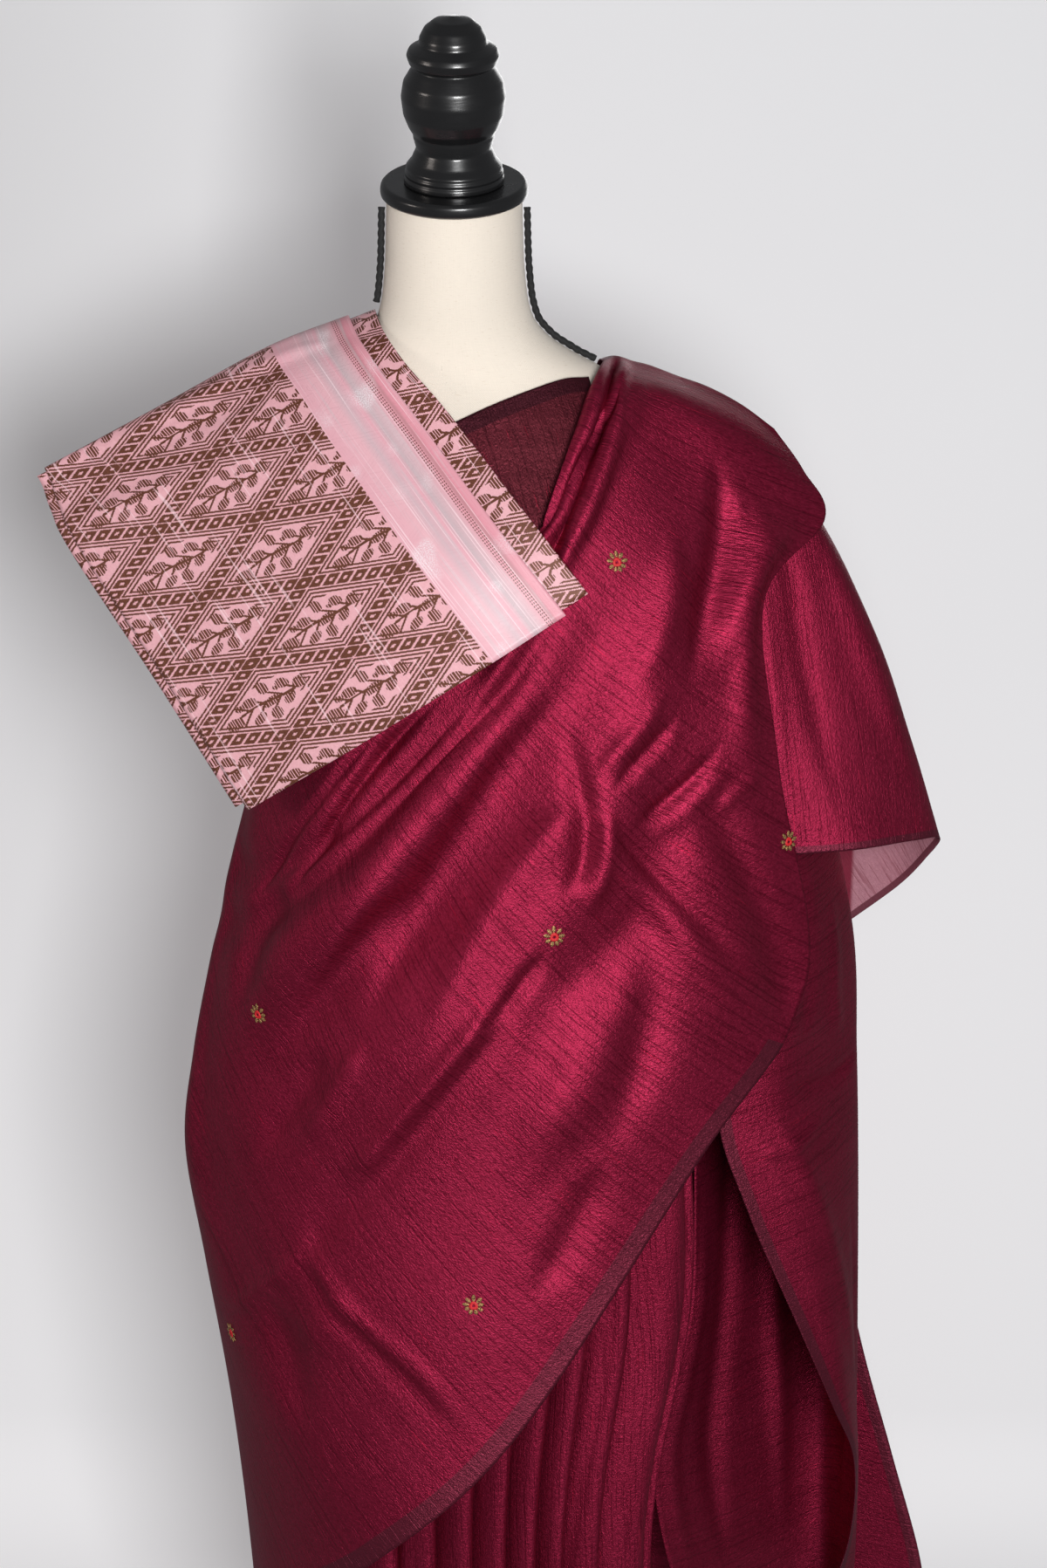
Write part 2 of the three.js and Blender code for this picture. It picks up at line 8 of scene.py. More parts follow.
import bmesh
import bpy
import numpy as np
from bpy.props import FloatProperty, FloatVectorProperty, PointerProperty
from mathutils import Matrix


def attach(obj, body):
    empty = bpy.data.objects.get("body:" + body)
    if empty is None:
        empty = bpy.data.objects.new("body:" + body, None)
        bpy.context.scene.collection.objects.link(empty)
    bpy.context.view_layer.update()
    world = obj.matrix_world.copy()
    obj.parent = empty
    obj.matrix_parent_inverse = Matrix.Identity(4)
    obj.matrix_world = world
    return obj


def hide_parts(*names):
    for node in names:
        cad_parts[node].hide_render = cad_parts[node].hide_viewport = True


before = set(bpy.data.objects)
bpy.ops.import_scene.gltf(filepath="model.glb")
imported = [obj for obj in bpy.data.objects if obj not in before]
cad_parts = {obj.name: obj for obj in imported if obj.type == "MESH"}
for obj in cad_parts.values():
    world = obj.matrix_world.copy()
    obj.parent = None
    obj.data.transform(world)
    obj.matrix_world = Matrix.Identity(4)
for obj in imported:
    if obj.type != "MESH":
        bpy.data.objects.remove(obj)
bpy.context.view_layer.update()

bl_info = {
    "name": "Banarasi Saree On Dress Form",
    "version": (1, 0, 0),
    "blender": (4, 5, 0),
    "location": "View3D > Sidebar > Saree",
    "description": "Builds a draped silk saree, its folded blouse piece and the dress form that carries them",
    "category": "Object",
}

SEAM_GAP = 0.3
BROCADE_WALL = 1.0
FORM_BOTTOM = 700
FORM_TOP = 1487
CAP_TILT = 12  # degrees that the neck plate leans towards the viewer
LEAN_START = 1400  # height above which the torso leans with the plate
TORSO_CLEARANCE = 1.2  # how far outside the torso creased cloth stays
TORSO_CORE = 0.5  # share of the torso's size within which no cloth lies
FOOT_TOP = 36
POLE_RADIUS = 14
CORD_RADIUS = 2.8
CORD_SIDES = 16
CORD_TURN = 14  # length in which a ply goes once round
HEM_HEIGHT = 14
SKIRT_TOP = 992
SKIRT_FOLDS = 12
SKIRT_DRIFT = 1.3  # how unevenly the folds are spread round the skirt
PLEATS_TOP = 950
PLEAT_MIDDLE = 40
PLEAT_BEND = 0.0016
PLEAT_SWELL = 0.19
PANEL_SIDE_SEAM = 9.5
PANEL_END = 12  # last column of the panel's net
SEAM_STEP = 0.008  # columns between the panel and the back wrap
FOLDS_START = 0.3  # column where the panel's large folds have their full height
FOLDS_END = 9.3  # column where they have died out
FOLDS_FADE = 0.6

# Torso sections: height, half width, depth in front, depth behind, middle's y
TORSO = [
  [700, 156, 96, 116, 0],
  [750, 164, 102, 122, 0],
  [805, 166, 103, 124, 0],
  [860, 158, 98, 116, 0],
  [920, 142, 92, 103, 0],
  [985, 124, 86, 91, 0],
  [1040, 132, 94, 95, 0],
  [1100, 148, 111, 103, 0],
  [1160, 167, 125, 109, 0],
  [1200, 181, 120, 112, 3],
  [1240, 189, 112, 106, 6],
  [1275, 187, 99, 93, 10],
  [1300, 176, 86, 80, 10],
  [1320, 158, 75, 68, 10],
  [1336, 136, 66, 60, 10],
  [1349, 116, 60, 54, 9],
  [1358, 98, 58, 53, 8],
  [1371, 78, 57, 54, 7],
  [1386, 64.5, 56, 55, 5],
  [1405, 58.5, 55, 55, 2],
  [1435, 55.5, 54.5, 55, 0],
  [1487, 54, 54, 54, 0],
]

# Skirt sections: height, half width left, half width right, depth in front, depth behind, fold depth
SKIRT = [
  [992, 126.8, 126.8, 88.6, 93.4, 0],
  [975, 128, 128, 89, 95, 0],
  [920, 152, 150, 98, 112, 1],
  [805, 184, 174, 114, 132, 2],
  [700, 196, 182, 122, 140, 3],
  [560, 196, 178, 126, 144, 4],
  [400, 166, 158, 130, 146, 5],
  [200, 156, 168, 138, 148, 9],
  [14, 180, 196, 152, 162, 12],
]

# Front pleats: height, left end, right end, middle's y, share of the fold depth
PLEATS = [
  [950, -34, 120, -102.7, 0.4],
  [880, -60, 158, -130, 0.6],
  [800, -82, 180, -150, 0.8],
  [700, -92, 194, -160, 1],
  [576, -92, 194, -166, 1],
  [430, -88, 168, -172, 1],
  [334, -86, 162, -176, 1],
  [150, -90, 168, -181, 1.1],
  [14, -94, 176, -190, 1.2],
]
# Each pleat: its width as a share of the front, fold depth, lean to the right
PLEAT_FOLDS = [
  [0.15, 9, 4.9],
  [0.13, 10, 6.3],
  [0.12, 11, 7],
  [0.11, 12, 7.7],
  [0.1, 12, 7],
  [0.09, 12, 7],
  [0.12, 11, 9.8],
  [0.18, 7, 9.8],
]

# Front panel: a row for each fold line, from the neck edge (first row) to the arm fold and lower selvage
# (last row). Its [x, y, z] points run from the shoulder's crest down across the chest and round the back.
PANEL = [
  [[120, 25, 1350], [112, -30, 1342], [98, -74, 1307], [65, -116, 1238], [14, -138, 1176],
   [-48, -136, 1128], [-105, -124, 1081], [-152, -78, 1036], [-168, -42, 1012], [-174, -5, 985],
   [-150, 88, 1010], [-40, 132, 1000], [110, 118, 990]],
  [[131, 25, 1353], [124, -32, 1343], [113, -74, 1307], [86, -118, 1239], [31, -146, 1150],
   [-34, -148, 1076], [-102, -138, 1009], [-160, -86, 958], [-182, -46, 940], [-190, -10, 927],
   [-160, 100, 930], [-40, 144, 915], [120, 126, 905]],
  [[144, 25, 1349], [138, -32, 1339], [130, -71, 1300], [104, -118, 1232], [48, -151, 1136],
   [-28, -159, 1042], [-102, -152, 961], [-167, -98, 889], [-196, -52, 864], [-206, -12, 851],
   [-172, 110, 840], [-45, 156, 820], [130, 134, 810]],
  [[159, 25, 1345], [155, -30, 1334], [151, -63, 1295], [129, -116, 1218], [69, -158, 1102],
   [0, -170, 990], [-85, -166, 889], [-168, -114, 800], [-208, -58, 776], [-222, -15, 769],
   [-182, 116, 730], [-50, 164, 705], [138, 138, 700]],
  [[180, 25, 1337], [179, -26, 1326], [180, -52, 1282], [162, -108, 1202], [117, -154, 1072],
   [62, -176, 956], [-36, -186, 833], [-143, -138, 716], [-206, -72, 690], [-232, -18, 683],
   [-188, 120, 600], [-52, 170, 570], [144, 142, 570]],
  [[205, 25, 1328], [211, -18, 1310], [220, -40, 1265], [199, -94, 1178], [173, -142, 1047],
   [145, -164, 937], [41, -196, 785], [-88, -180, 624], [-172, -112, 590], [-218, -26, 580],
   [-184, 118, 450], [-52, 172, 420], [146, 146, 430]],
  [[233, 25, 1313], [245, -6, 1290], [260, -24, 1244], [229, -80, 1171], [222, -118, 1044],
   [222, -138, 899], [125, -190, 749], [-12, -208, 568], [-128, -158, 478], [-197, -34, 455],
   [-172, 118, 290], [-52, 174, 270], [148, 148, 290]],
  [[260, 25, 1293], [283, 12, 1262], [300, -4, 1224], [248, -64, 1171], [261, -92, 1040],
   [288, -92, 853], [197, -166, 728], [48, -218, 505], [-68, -200, 384], [-166, -66, 262],
   [-174, 118, 130], [-52, 176, 110], [150, 150, 140]],
]
# Large folds of the panel: from row, column, to row, column, width in rows, height in mm (troughs below 0)
PANEL_FOLDS = [
  [0.4, 0.2, 0.3, 4.4, 0.36, 5],
  [1.0, 0.2, 0.9, 3.9, 0.24, -6],
  [1.6, 0.3, 1.5, 4.4, 0.36, 6],
  [2.1, 4.0, 1.5, 8.8, 0.26, -7],
  [1.5, 4.6, 0.9, 8.4, 0.24, -6],
  [3.3, 3.6, 3.1, 7.4, 0.5, -9],
  [2.6, 4.4, 2.4, 7.0, 0.42, 8],
  [4.3, 3.2, 4.2, 6.4, 0.55, 8],
  [5.0, 4.0, 4.9, 5.6, 0.4, -8],
  [5.7, 4.2, 6.95, 5.25, 0.32, -7],
  [6.2, 2.2, 6.3, 4.0, 0.4, 6],
]

# Sheer layer at the neck: rows from the neck edge down, [x, z] points laid on the torso, and its lift off it
NECK_LAYER = [
  [[107, 1346], [83, 1346], [41, 1334], [3, 1319], [-40, 1300]],
  [[112, 1330], [90, 1318], [58, 1300], [20, 1284], [-22, 1262]],
  [[120, 1300], [100, 1282], [70, 1262], [36, 1242], [-6, 1222]],
  [[122, 1270], [104, 1244], [78, 1222], [48, 1202], [12, 1184]],
]
NECK_LIFT = {"front": 2.5, "shoulder": 4, "reach": 110}

# Shoulder cape: rows from the shoulder to its hem, points from the front inner edge round the arm to the back
CAPE = [
  [[205, -25, 1274], [219, -18, 1284], [232, -6, 1294], [240, 8, 1298.6], [240, 24, 1299.8],
   [232, 38, 1292.4], [219, 50, 1281], [205, 60, 1268]],
  [[228, -46, 1196], [256, -38, 1206], [284, -20, 1210], [303, 6, 1210], [301, 30, 1206],
   [286, 52, 1200], [260, 67, 1194], [232, 77, 1188]],
  [[242, -62, 1110], [272, -52, 1118], [312, -30, 1122], [346, 0, 1122], [342, 34, 1112],
   [316, 62, 1100], [284, 84, 1088], [254, 98, 1078]],
  [[252, -74, 1030], [296, -62, 1036], [344, -32, 1040], [376, 2, 1038], [371, 38, 1018], [346, 68, 996],
   [312, 94, 972], [276, 110, 948]],
  [[260, -80, 961], [326, -70, 963], [377, -30, 958], [404, 5, 949], [396, 40, 919], [378, 72, 885],
   [340, 102, 843], [304, 120, 808]],
]

# Hanging side margin: rows downwards, points from its front selvage round the right fold to its inner edge
PALLU_SIDE = [
  [[187, -8, 1236], [192, 6, 1243], [194.4, 20, 1246], [193.6, 34, 1246], [190.4, 46, 1243],
   [185.4, 57, 1236], [179.4, 66, 1228]],
  [[228, -20, 1120], [250, 0, 1120], [266, 24, 1120], [262, 48, 1120], [242, 62, 1120], [218, 70, 1120],
   [196, 78, 1120]],
  [[234, -42, 1000], [270, -16, 1000], [302, 28, 1000], [298, 58, 1000], [264, 82, 1000],
   [224, 92, 1000], [192, 92, 1000]],
  [[232, -52, 853], [284, -28, 853], [334, 50, 853], [329, 80, 853], [284, 102, 853], [232, 98, 853],
   [196, 82, 853]],
  [[218, -60, 730], [280, -32, 738], [340, 46, 744], [335, 78, 740], [292, 110, 735], [244, 96, 730],
   [206, 62, 730]],
  [[244, -60, 640], [302, -32, 636], [345, 40, 634], [340, 76, 636], [304, 114, 640], [254, 92, 640],
   [204, 36, 640]],
  [[291, -45, 524], [326, -20, 520], [349, 38, 512], [344, 76, 516], [316, 118, 520], [260, 88, 522],
   [203, 30, 520]],
  [[324, -26, 440], [340, -6, 434], [352, 40, 424], [346, 78, 428], [322, 122, 432], [262, 88, 434],
   [188, 24, 438]],
  [[347, 2, 372], [351, 14, 364], [354, 40, 352], [348, 78, 352], [326, 124, 352], [262, 88, 352],
   [171, 22, 356]],
  [[345, 8, 292], [349, 22, 280], [354, 42, 268], [349, 80, 262], [328, 124, 256], [264, 90, 256],
   [184, 30, 262]],
  [[322, 12, 214], [336, 26, 206], [352, 46, 196], [350, 82, 190], [330, 122, 186], [268, 94, 188],
   [206, 44, 196]],
]

# Loose end down the back: rows downwards from the shoulder's crest, points from its inner edge to the arm
PALLU_BACK = [
  [[120, 26.3, 1350], [131, 26.3, 1353], [144, 26.3, 1349], [159, 26.3, 1345], [180, 26.3, 1337],
   [205, 26.3, 1328], [233, 26.3, 1313], [260, 26.3, 1293]],
  [[114, 70, 1334], [127, 72, 1336], [142, 71, 1332], [158, 72, 1328], [179, 70, 1320], [205, 66, 1310],
   [233, 60, 1296], [259, 54, 1276]],
  [[96, 122, 1240], [112, 126, 1240], [131, 123, 1238], [151, 127, 1234], [175, 124, 1230],
   [204, 119, 1224], [234, 108, 1216], [263, 94, 1208]],
  [[66, 130, 1060], [88, 140, 1060], [114, 134, 1060], [142, 142, 1058], [172, 136, 1056],
   [208, 142, 1052], [244, 134, 1048], [280, 134, 1044]],
  [[40, 162, 850], [70, 170, 850], [102, 160, 850], [136, 172, 850], [172, 162, 850], [212, 172, 850],
   [254, 162, 850], [298, 158, 850]],
  [[14, 184, 600], [50, 194, 600], [88, 182, 600], [128, 198, 600], [170, 184, 600], [216, 198, 600],
   [268, 182, 600], [326, 176, 600]],
  [[0, 188, 420], [40, 202, 420], [82, 186, 420], [126, 206, 420], [172, 188, 420], [226, 206, 420],
   [292, 186, 420], [364, 166, 420]],
  [[-8, 190, 300], [34, 208, 300], [78, 188, 300], [124, 212, 300], [174, 190, 300], [232, 212, 300],
   [306, 188, 300], [397, 160, 300]],
  [[-12, 192, 186], [30, 212, 184], [76, 190, 184], [124, 218, 184], [176, 192, 184], [238, 216, 184],
   [316, 190, 184], [428, 152, 184]],
  [[-12, 193, 114], [30, 213, 112], [76, 192, 112], [124, 219, 112], [176, 194, 112], [238, 217, 112],
   [316, 190, 112], [428, 152, 112]],
]

# Blouse piece: rows from its front edge over the shoulder to its back edge, points from the neck side
BLOUSE_TOP = [
  [[88, -160, 1184], [23, -169, 1143], [-69, -160, 1082], [-165, -130, 1016]],
  [[35, -136, 1248], [-34, -143, 1211], [-131, -116, 1166], [-232, -85, 1111]],
  [[-25, -88, 1320], [-93, -88, 1290], [-195, -64, 1249], [-303, -38, 1208]],
  [[-57, -62, 1357], [-118, -52, 1334], [-214, -34, 1288], [-321, -16, 1239]],
  [[-76, -32, 1379], [-136, -24, 1354], [-226, -14, 1308], [-328, -6, 1256]],
  [[-86, 12, 1388.6], [-151, 12, 1363], [-235, 10, 1317], [-333, 6, 1264]],
  [[-80, 80, 1340], [-140, 82, 1312], [-222, 72, 1268], [-310, 54, 1216]],
  [[-56, 124, 1240], [-112, 128, 1212], [-190, 112, 1170], [-262, 84, 1124]],
  [[-20, 142, 1120], [-76, 146, 1096], [-146, 132, 1058], [-206, 104, 1020]],
]
# The fold beneath it: how far below, and its ends on the net of the outer fold (rows, then points)
BLOUSE_UNDER = {"below": 3.4, "rows": [0.06, 7.94], "points": [-0.31, 3.08]}

# Seam cords, laid down the sides of the neck: side along x, heights of the upper and lower ends
CORDS = {"seam_cord_right": [1, 1478, 1351], "seam_cord_left": [-1, 1478, 1401]}

# Turned profiles: [radius, height above the cap plate's underside]
PLATE = [[0, 0], [56, 0], [58.5, 2], [59, 5], [58.5, 9.5], [56, 12], [0, 12]]
FINIAL = [
  [0, 12.3], [40, 12.3], [40, 16.5], [38.6, 18], [39.4, 20.5], [37.8, 23], [38.4, 25], [34, 30.5], [29.8, 40],
  [32.2, 49.5], [32.2, 52], [35.8, 58], [39.7, 68], [41.3, 82], [39.4, 94], [34, 103], [31.5, 106.5],
  [34.6, 109], [36.6, 115.5], [34.8, 120], [27, 124.5], [26.3, 129.5], [22.5, 137], [15, 143], [0, 146],
]
FOOT = [[0, 0], [123, 0], [125, 2], [125, 11], [117, 16], [30, 16], [28, 30], [18, FOOT_TOP], [0, FOOT_TOP]]

# Hanging pieces: name, node, net, rows and columns, selvages, whether the weft runs along the rows, flat cut
# in metres. Each selvage is an edge of the net, its border in mm, its first and last place along that edge.
HANGING = [
  ["silk_shoulder_cape", "saree_shoulder_cape", CAPE, (130, 150),
   [["last row", 7, 0, 7]], False, (0.26, 0.42)],
  ["silk_side_margin", "saree_pallu_side", PALLU_SIDE, (190, 125),
   [["first column", 12, 3.6, 10]], True, (0.3, 1.05)],
  ["silk_loose_end", "saree_pallu_back", PALLU_BACK, (165, 125),
   [["first column", 12, 0, 9], ["last column", 12, 0, 9], ["last row", 16, 0, 7]], True, (0.3, 1.27)],
]
BORDER = 18  # width of selvage border that the silk's finish is made for
SHEER_BORDER = 14
NO_SELVAGE = 9.0  # metres, where no selvage is near

# Creases: from row, column, through row, column, to row, column, half width and height in mm
PANEL_CREASES = [
  [3.15, 3.75, 2.95, 4.95, 3.6, 6.2, 19, -9.5],
  [2.2, 4.1, 2.25, 5.15, 2.9, 6.4, 17, 7],
  [4.1, 4.3, 3.7, 5.0, 4.15, 6.05, 17, 7],
  [0.75, 4.5, 0.95, 5.7, 1.85, 6.6, 6, -7],
  [0.45, 4.65, 0.6, 5.85, 1.55, 6.95, 8, 4],
  [0.45, 5.15, 0.75, 6.15, 1.5, 7.2, 5, -5.5],
  [4.6, 1.75, 5.1, 2.75, 4.85, 3.5, 13, -8],
  [4.0, 2.6, 4.3, 3.15, 4.1, 3.6, 14, 4],
  [5.45, 2.0, 5.95, 2.75, 5.45, 3.5, 14, 4],
  [4.25, 4.2, 4.55, 3.9, 4.9, 3.65, 6, -6],
  [4.0, 4.15, 4.3, 3.85, 4.6, 3.55, 8, 4],
  [4.6, 4.45, 5.15, 4.1, 5.85, 3.8, 5, -5.5],
  [4.8, 4.5, 5.35, 4.2, 6.1, 3.9, 7, 2.5],
  [5.7, 4.25, 6.15, 4.1, 6.75, 4.0, 4, 3.5],
  [4.2, 4.95, 4.15, 4.5, 3.35, 3.9, 11, -7],
  [4.55, 5.05, 4.45, 4.65, 4.3, 4.3, 9, 5.5],
  [4.35, 4.3, 5.25, 4.8, 6.8, 5.15, 6, -4.5],
  [4.4, 4.5, 5.15, 4.9, 6.5, 5.25, 12, 4.5],
  [4.85, 4.85, 5.45, 5.35, 6.05, 6.05, 22, -7],
  [4.85, 5.3, 5.2, 5.75, 5.3, 6.3, 20, 5.5],
  [5.0, 4.9, 5.4, 5.6, 5.5, 6.4, 22, 6.5],
  [2.85, 5.3, 2.9, 6.0, 3.2, 6.9, 16, -7],
  [1.3, 6.6, 1.9, 6.9, 2.7, 7.3, 18, -6],
  [5.0, 7.0, 5.2, 7.35, 5.4, 7.7, 16, 5],
  [4.4, 5.25, 4.4, 5.5, 4.35, 5.8, 8, -5.5],
  [4.35, 5.35, 4.35, 6.15, 4.5, 7.1, 9, 5.5],
  [4.5, 5.45, 4.55, 6.2, 4.65, 7.0, 11, -4],
  [3.6, 6.15, 3.8, 6.45, 4.05, 6.9, 9, 4.5],
  [3.4, 6.4, 3.6, 6.75, 3.95, 7.3, 13, -5.5],
  [1.95, 0.6, 0.6, 2.35, 0.05, 3.05, 6, -8],
  [0.85, 0.3, 0.1, 2.3, 0.0, 2.9, 10, 5.5],
  [3.0, 0.35, 1.6, 2.4, 1.3, 3.2, 11, 4.5],
  [4.55, 7.05, 4.95, 7.8, 5.3, 8.6, 8, 4],
  [4.4, 6.5, 4.5, 6.85, 4.75, 7.25, 14, -5.5],
  [4.5, 7.1, 5.45, 7.1, 6.9, 7.1, 6, 3.5],
  [4.55, 7.25, 5.5, 7.2, 6.8, 7.2, 8, -2.5],
  [6.0, 6.05, 6.2, 6.35, 6.25, 6.6, 16, -5.5],
  [5.0, 7.85, 5.5, 7.85, 6.0, 8.05, 20, -5.5],
]
BACK_CREASES = [
  [0.6, 9.7, 1.3, 10.6, 1.5, 11.7, 12, -4],
  [1.9, 9.6, 2.6, 10.5, 3.2, 11.8, 16, 4.5],
  [3.4, 9.7, 3.9, 10.7, 4.4, 11.6, 14, -5],
  [4.6, 9.6, 5.1, 10.4, 5.9, 11.8, 20, 5],
  [2.9, 9.6, 3.1, 10.1, 3.0, 10.9, 7, -3],
  [5.6, 9.9, 6.3, 10.5, 6.7, 11.3, 13, -4],
  [6.2, 9.6, 6.5, 10.8, 6.9, 11.9, 15, 3],
]
# On the skirt a place is a height and an angle from the front, and on the pleats a height and a pleat
SKIRT_CREASES = [
  [960, 1.2, 760, 1.32, 480, 1.24, 16, 5],
  [940, 1.5, 700, 1.66, 420, 1.6, 13, -5],
  [900, -1.35, 640, -1.5, 380, -1.42, 17, -6],
  [930, -1.8, 700, -1.7, 300, -1.85, 15, 5],
  [880, 2.2, 600, 2.3, 260, 2.25, 18, -6],
  [930, 2.75, 720, 2.7, 450, 2.85, 14, 5],
  [900, -2.4, 700, -2.5, 350, -2.4, 16, -5],
  [420, 2.95, 260, 2.9, 60, 3.0, 15, 5],
  [500, -0.9, 300, -1.0, 60, -0.95, 14, 5],
]
PLEAT_CREASES = [
  [900, 6.6, 700, 6.9, 480, 6.7, 7, -3],
  [760, 7.4, 620, 7.3, 420, 7.5, 9, 3],
  [700, 6.3, 520, 6.4, 300, 6.2, 6, 2.5],
  [520, 1.2, 380, 1.3, 150, 1.15, 7, -3],
  [640, 3.3, 540, 3.2, 400, 3.35, 5, -2.5],
]
CAPE_CREASES = [
  [0.3, 1.2, 1.8, 1.3, 3.6, 1.0, 11, -3.5],
  [0.2, 2.4, 1.6, 2.5, 3.7, 2.6, 14, 3.5],
  [0.8, 3.4, 2.2, 3.5, 3.9, 3.3, 10, -3],
  [1.0, 0.5, 2.0, 0.45, 3.2, 0.3, 8, 2.5],
  [0.4, 4.8, 2.0, 5.0, 3.7, 5.2, 12, -4],
  [0.6, 5.9, 2.0, 6.1, 3.6, 6.3, 13, 3.5],
]
SIDE_CREASES = [
  [3.9, 0.9, 4.1, 1.5, 4.0, 2.1, 6, -5],
  [4.4, 0.3, 4.5, 0.9, 4.3, 1.5, 5, 3.5],
  [4.0, 0.7, 5.4, 1.2, 6.8, 1.5, 12, 3],
  [5.0, 1.7, 7.0, 1.9, 9.2, 1.9, 9, -3],
  [2.2, 1.0, 3.0, 1.2, 3.7, 1.1, 13, -4],
  [2.6, 1.7, 3.4, 1.6, 3.8, 1.8, 10, 3],
  [3.2, 0.4, 3.5, 0.9, 3.6, 1.5, 6, 2.5],
  [4.2, 5.2, 6.8, 5.45, 9.6, 5.3, 13, 7],
  [4.4, 4.6, 6.6, 4.7, 9.4, 4.55, 12, -6],
  [5.0, 5.8, 7.4, 5.85, 9.5, 5.75, 8, -4],
  [4.8, 3.4, 7.0, 3.5, 9.2, 3.4, 15, 5],
  [3.0, 3.0, 5.0, 2.9, 7.5, 3.0, 12, -4],
]
LOOSE_CREASES = [
  [1.0, 1.2, 3.0, 1.5, 6.8, 1.3, 15, 6],
  [1.4, 2.2, 3.6, 2.3, 7.4, 2.5, 12, -6],
  [0.8, 3.4, 2.8, 3.2, 5.2, 3.5, 17, 5],
  [2.6, 4.3, 4.6, 4.4, 7.8, 4.2, 13, -6],
  [0.9, 5.3, 3.2, 5.5, 6.4, 5.4, 16, 6],
  [3.4, 6.2, 5.4, 6.1, 7.9, 6.3, 11, -5],
  [1.2, 0.6, 1.6, 1.6, 1.5, 2.6, 9, -3],
  [1.6, 4.6, 1.9, 5.6, 1.8, 6.4, 8, 3],
]
BLOUSE_CREASES = [
  [4.1, 0.2, 4.3, 1.4, 4.2, 2.9, 7, 2.5],
  [3.4, 1.2, 3.5, 1.8, 3.3, 2.8, 9, -2],
  [2.6, 2.0, 2.4, 2.4, 2.5, 3.0, 10, 2],
  [5.2, 0.4, 5.6, 1.6, 5.4, 2.7, 14, 3],
  [6.6, 0.3, 6.9, 1.4, 6.7, 2.6, 13, -3],
]
CREASES = {
  "saree_skirt": SKIRT_CREASES,
  "saree_front_pleats": PLEAT_CREASES,
  "saree_front_panel": PANEL_CREASES,
  "saree_back_wrap": BACK_CREASES,
  "saree_shoulder_cape": CAPE_CREASES,
  "saree_pallu_side": SIDE_CREASES,
  "saree_pallu_back": LOOSE_CREASES,
  "blouse_piece_top": BLOUSE_CREASES,
}
WRAP_RADIUS = 165  # of the body under the panel
WEFT_TURN = 53  # degrees down from level
CREASE_STEPS = 14
ARM_FOLD_END = 5.3  # place along the panel's last row where the arm fold ends and the lower selvage starts
# Nodes whose nets have normals that point inwards
INWARD = ["saree_front_pleats", "saree_shoulder_cape", "saree_pallu_side", "blouse_piece_top"]

# Buttis: row and column on each piece's net
BUTTIS = {
  "saree_front_panel": [[3.0, 3.02], [4.38, 5.17], [2.68, 6.87], [5.85, 6.72], [5.5, 8.57], [6.9, 4.35]],
  "saree_back_wrap": [[1.6, 10.4], [4.3, 11.2], [6.0, 9.9]],
  "saree_pallu_side": [[5.3, 4.9], [8.3, 3.4]],
  "saree_pallu_back": [[1.1, 4.4], [2.9, 2.1], [3.3, 5.6], [4.9, 3.8], [6.2, 1.6], [6.9, 5.2]],
  "saree_skirt": [[640, 1.75], [330, 2.1], [760, 2.9], [430, -2.7], [200, -1.9], [620, -1.9], [240, 0.9],
                  [150, 2.95]],
  "saree_shoulder_cape": [[1.5, 6.2]],
}
BUTTI_RADIUS = 9.5
BUTTI_LIFT = 0.75
PETALS = 9
ZARI_HEIGHT = 0.45
RING_HEIGHT = 0.5
# Shares of a flower's radius
PETAL_ROOT = 0.33
PETAL_HALF_WIDTH = 0.25
RING = (0.12, 0.38)

WALL_PLACE = 550
CORNER_RADIUS = 150
WALL_TOP = 6000
FLOOR_REACH = 9000
FLOOR_HALF_WIDTH = 7000
# Camera, in metres, degrees and mm of lens
CAMERA_PLACE = (0.055, -2.95, 1.90)
CAMERA_DOWN = 17
CAMERA_LENS = 85


def row_weights(count, places):
    """Weights (places, rows) of the smooth curve through count rows: Hermite cubics whose slope at a row is
    half the step between its neighbours, or the end's own step, and straight lines past both ends."""
    f = np.asarray(places, float).ravel()
    i = np.clip(np.floor(f).astype(int), 0, count - 2)
    t = f - i
    inside = (t >= 0) & (t <= 1)
    t2, t3 = t * t, t ** 3
    h0 = np.where(inside, 2 * t3 - 3 * t2 + 1, 1 - t)
    h1 = np.where(inside, 3 * t2 - 2 * t3, t)
    g0 = np.where(inside, t3 - 2 * t2 + t, 0)
    g1 = np.where(inside, t3 - t2, 0)
    start, end = i == 0, i == count - 2
    n = np.arange(f.size)
    weights = np.zeros((f.size, count))
    weights[n, i] += h0 - g0 * np.where(start, 1, 0) - g1 * np.where(end, 1, 0.5)
    weights[n, i + 1] += h1 + g0 * np.where(start, 1, 0.5) + g1 * np.where(end, 1, 0)
    weights[n, np.maximum(i - 1, 0)] -= g0 * np.where(start, 0, 0.5)
    weights[n, np.minimum(i + 2, count - 1)] += g1 * np.where(end, 0, 0.5)
    return weights


def net_points(net, s, t):
    """Points of a net of [x, y, z] rows at the row places s and column places t: the curve through the rows,
    then the curve through the columns."""
    net = np.asarray(net, float)
    s, t = np.broadcast_arrays(np.asarray(s, float), np.asarray(t, float))
    rows = (row_weights(net.shape[0], s) @ net.reshape(net.shape[0], -1)).reshape(s.size, net.shape[1], -1)
    return np.einsum("nck,nc->nk", rows, row_weights(net.shape[1], t)).reshape(*s.shape, -1)


def section(table, z):
    """Row of a table at the height z, its first column: the smooth curve through the table's rows."""
    table = np.asarray(table, float)
    order = np.argsort(table[:, 0])
    places = np.interp(z, table[order, 0], order)
    return (row_weights(len(table), places) @ table).reshape(*np.shape(z), -1)


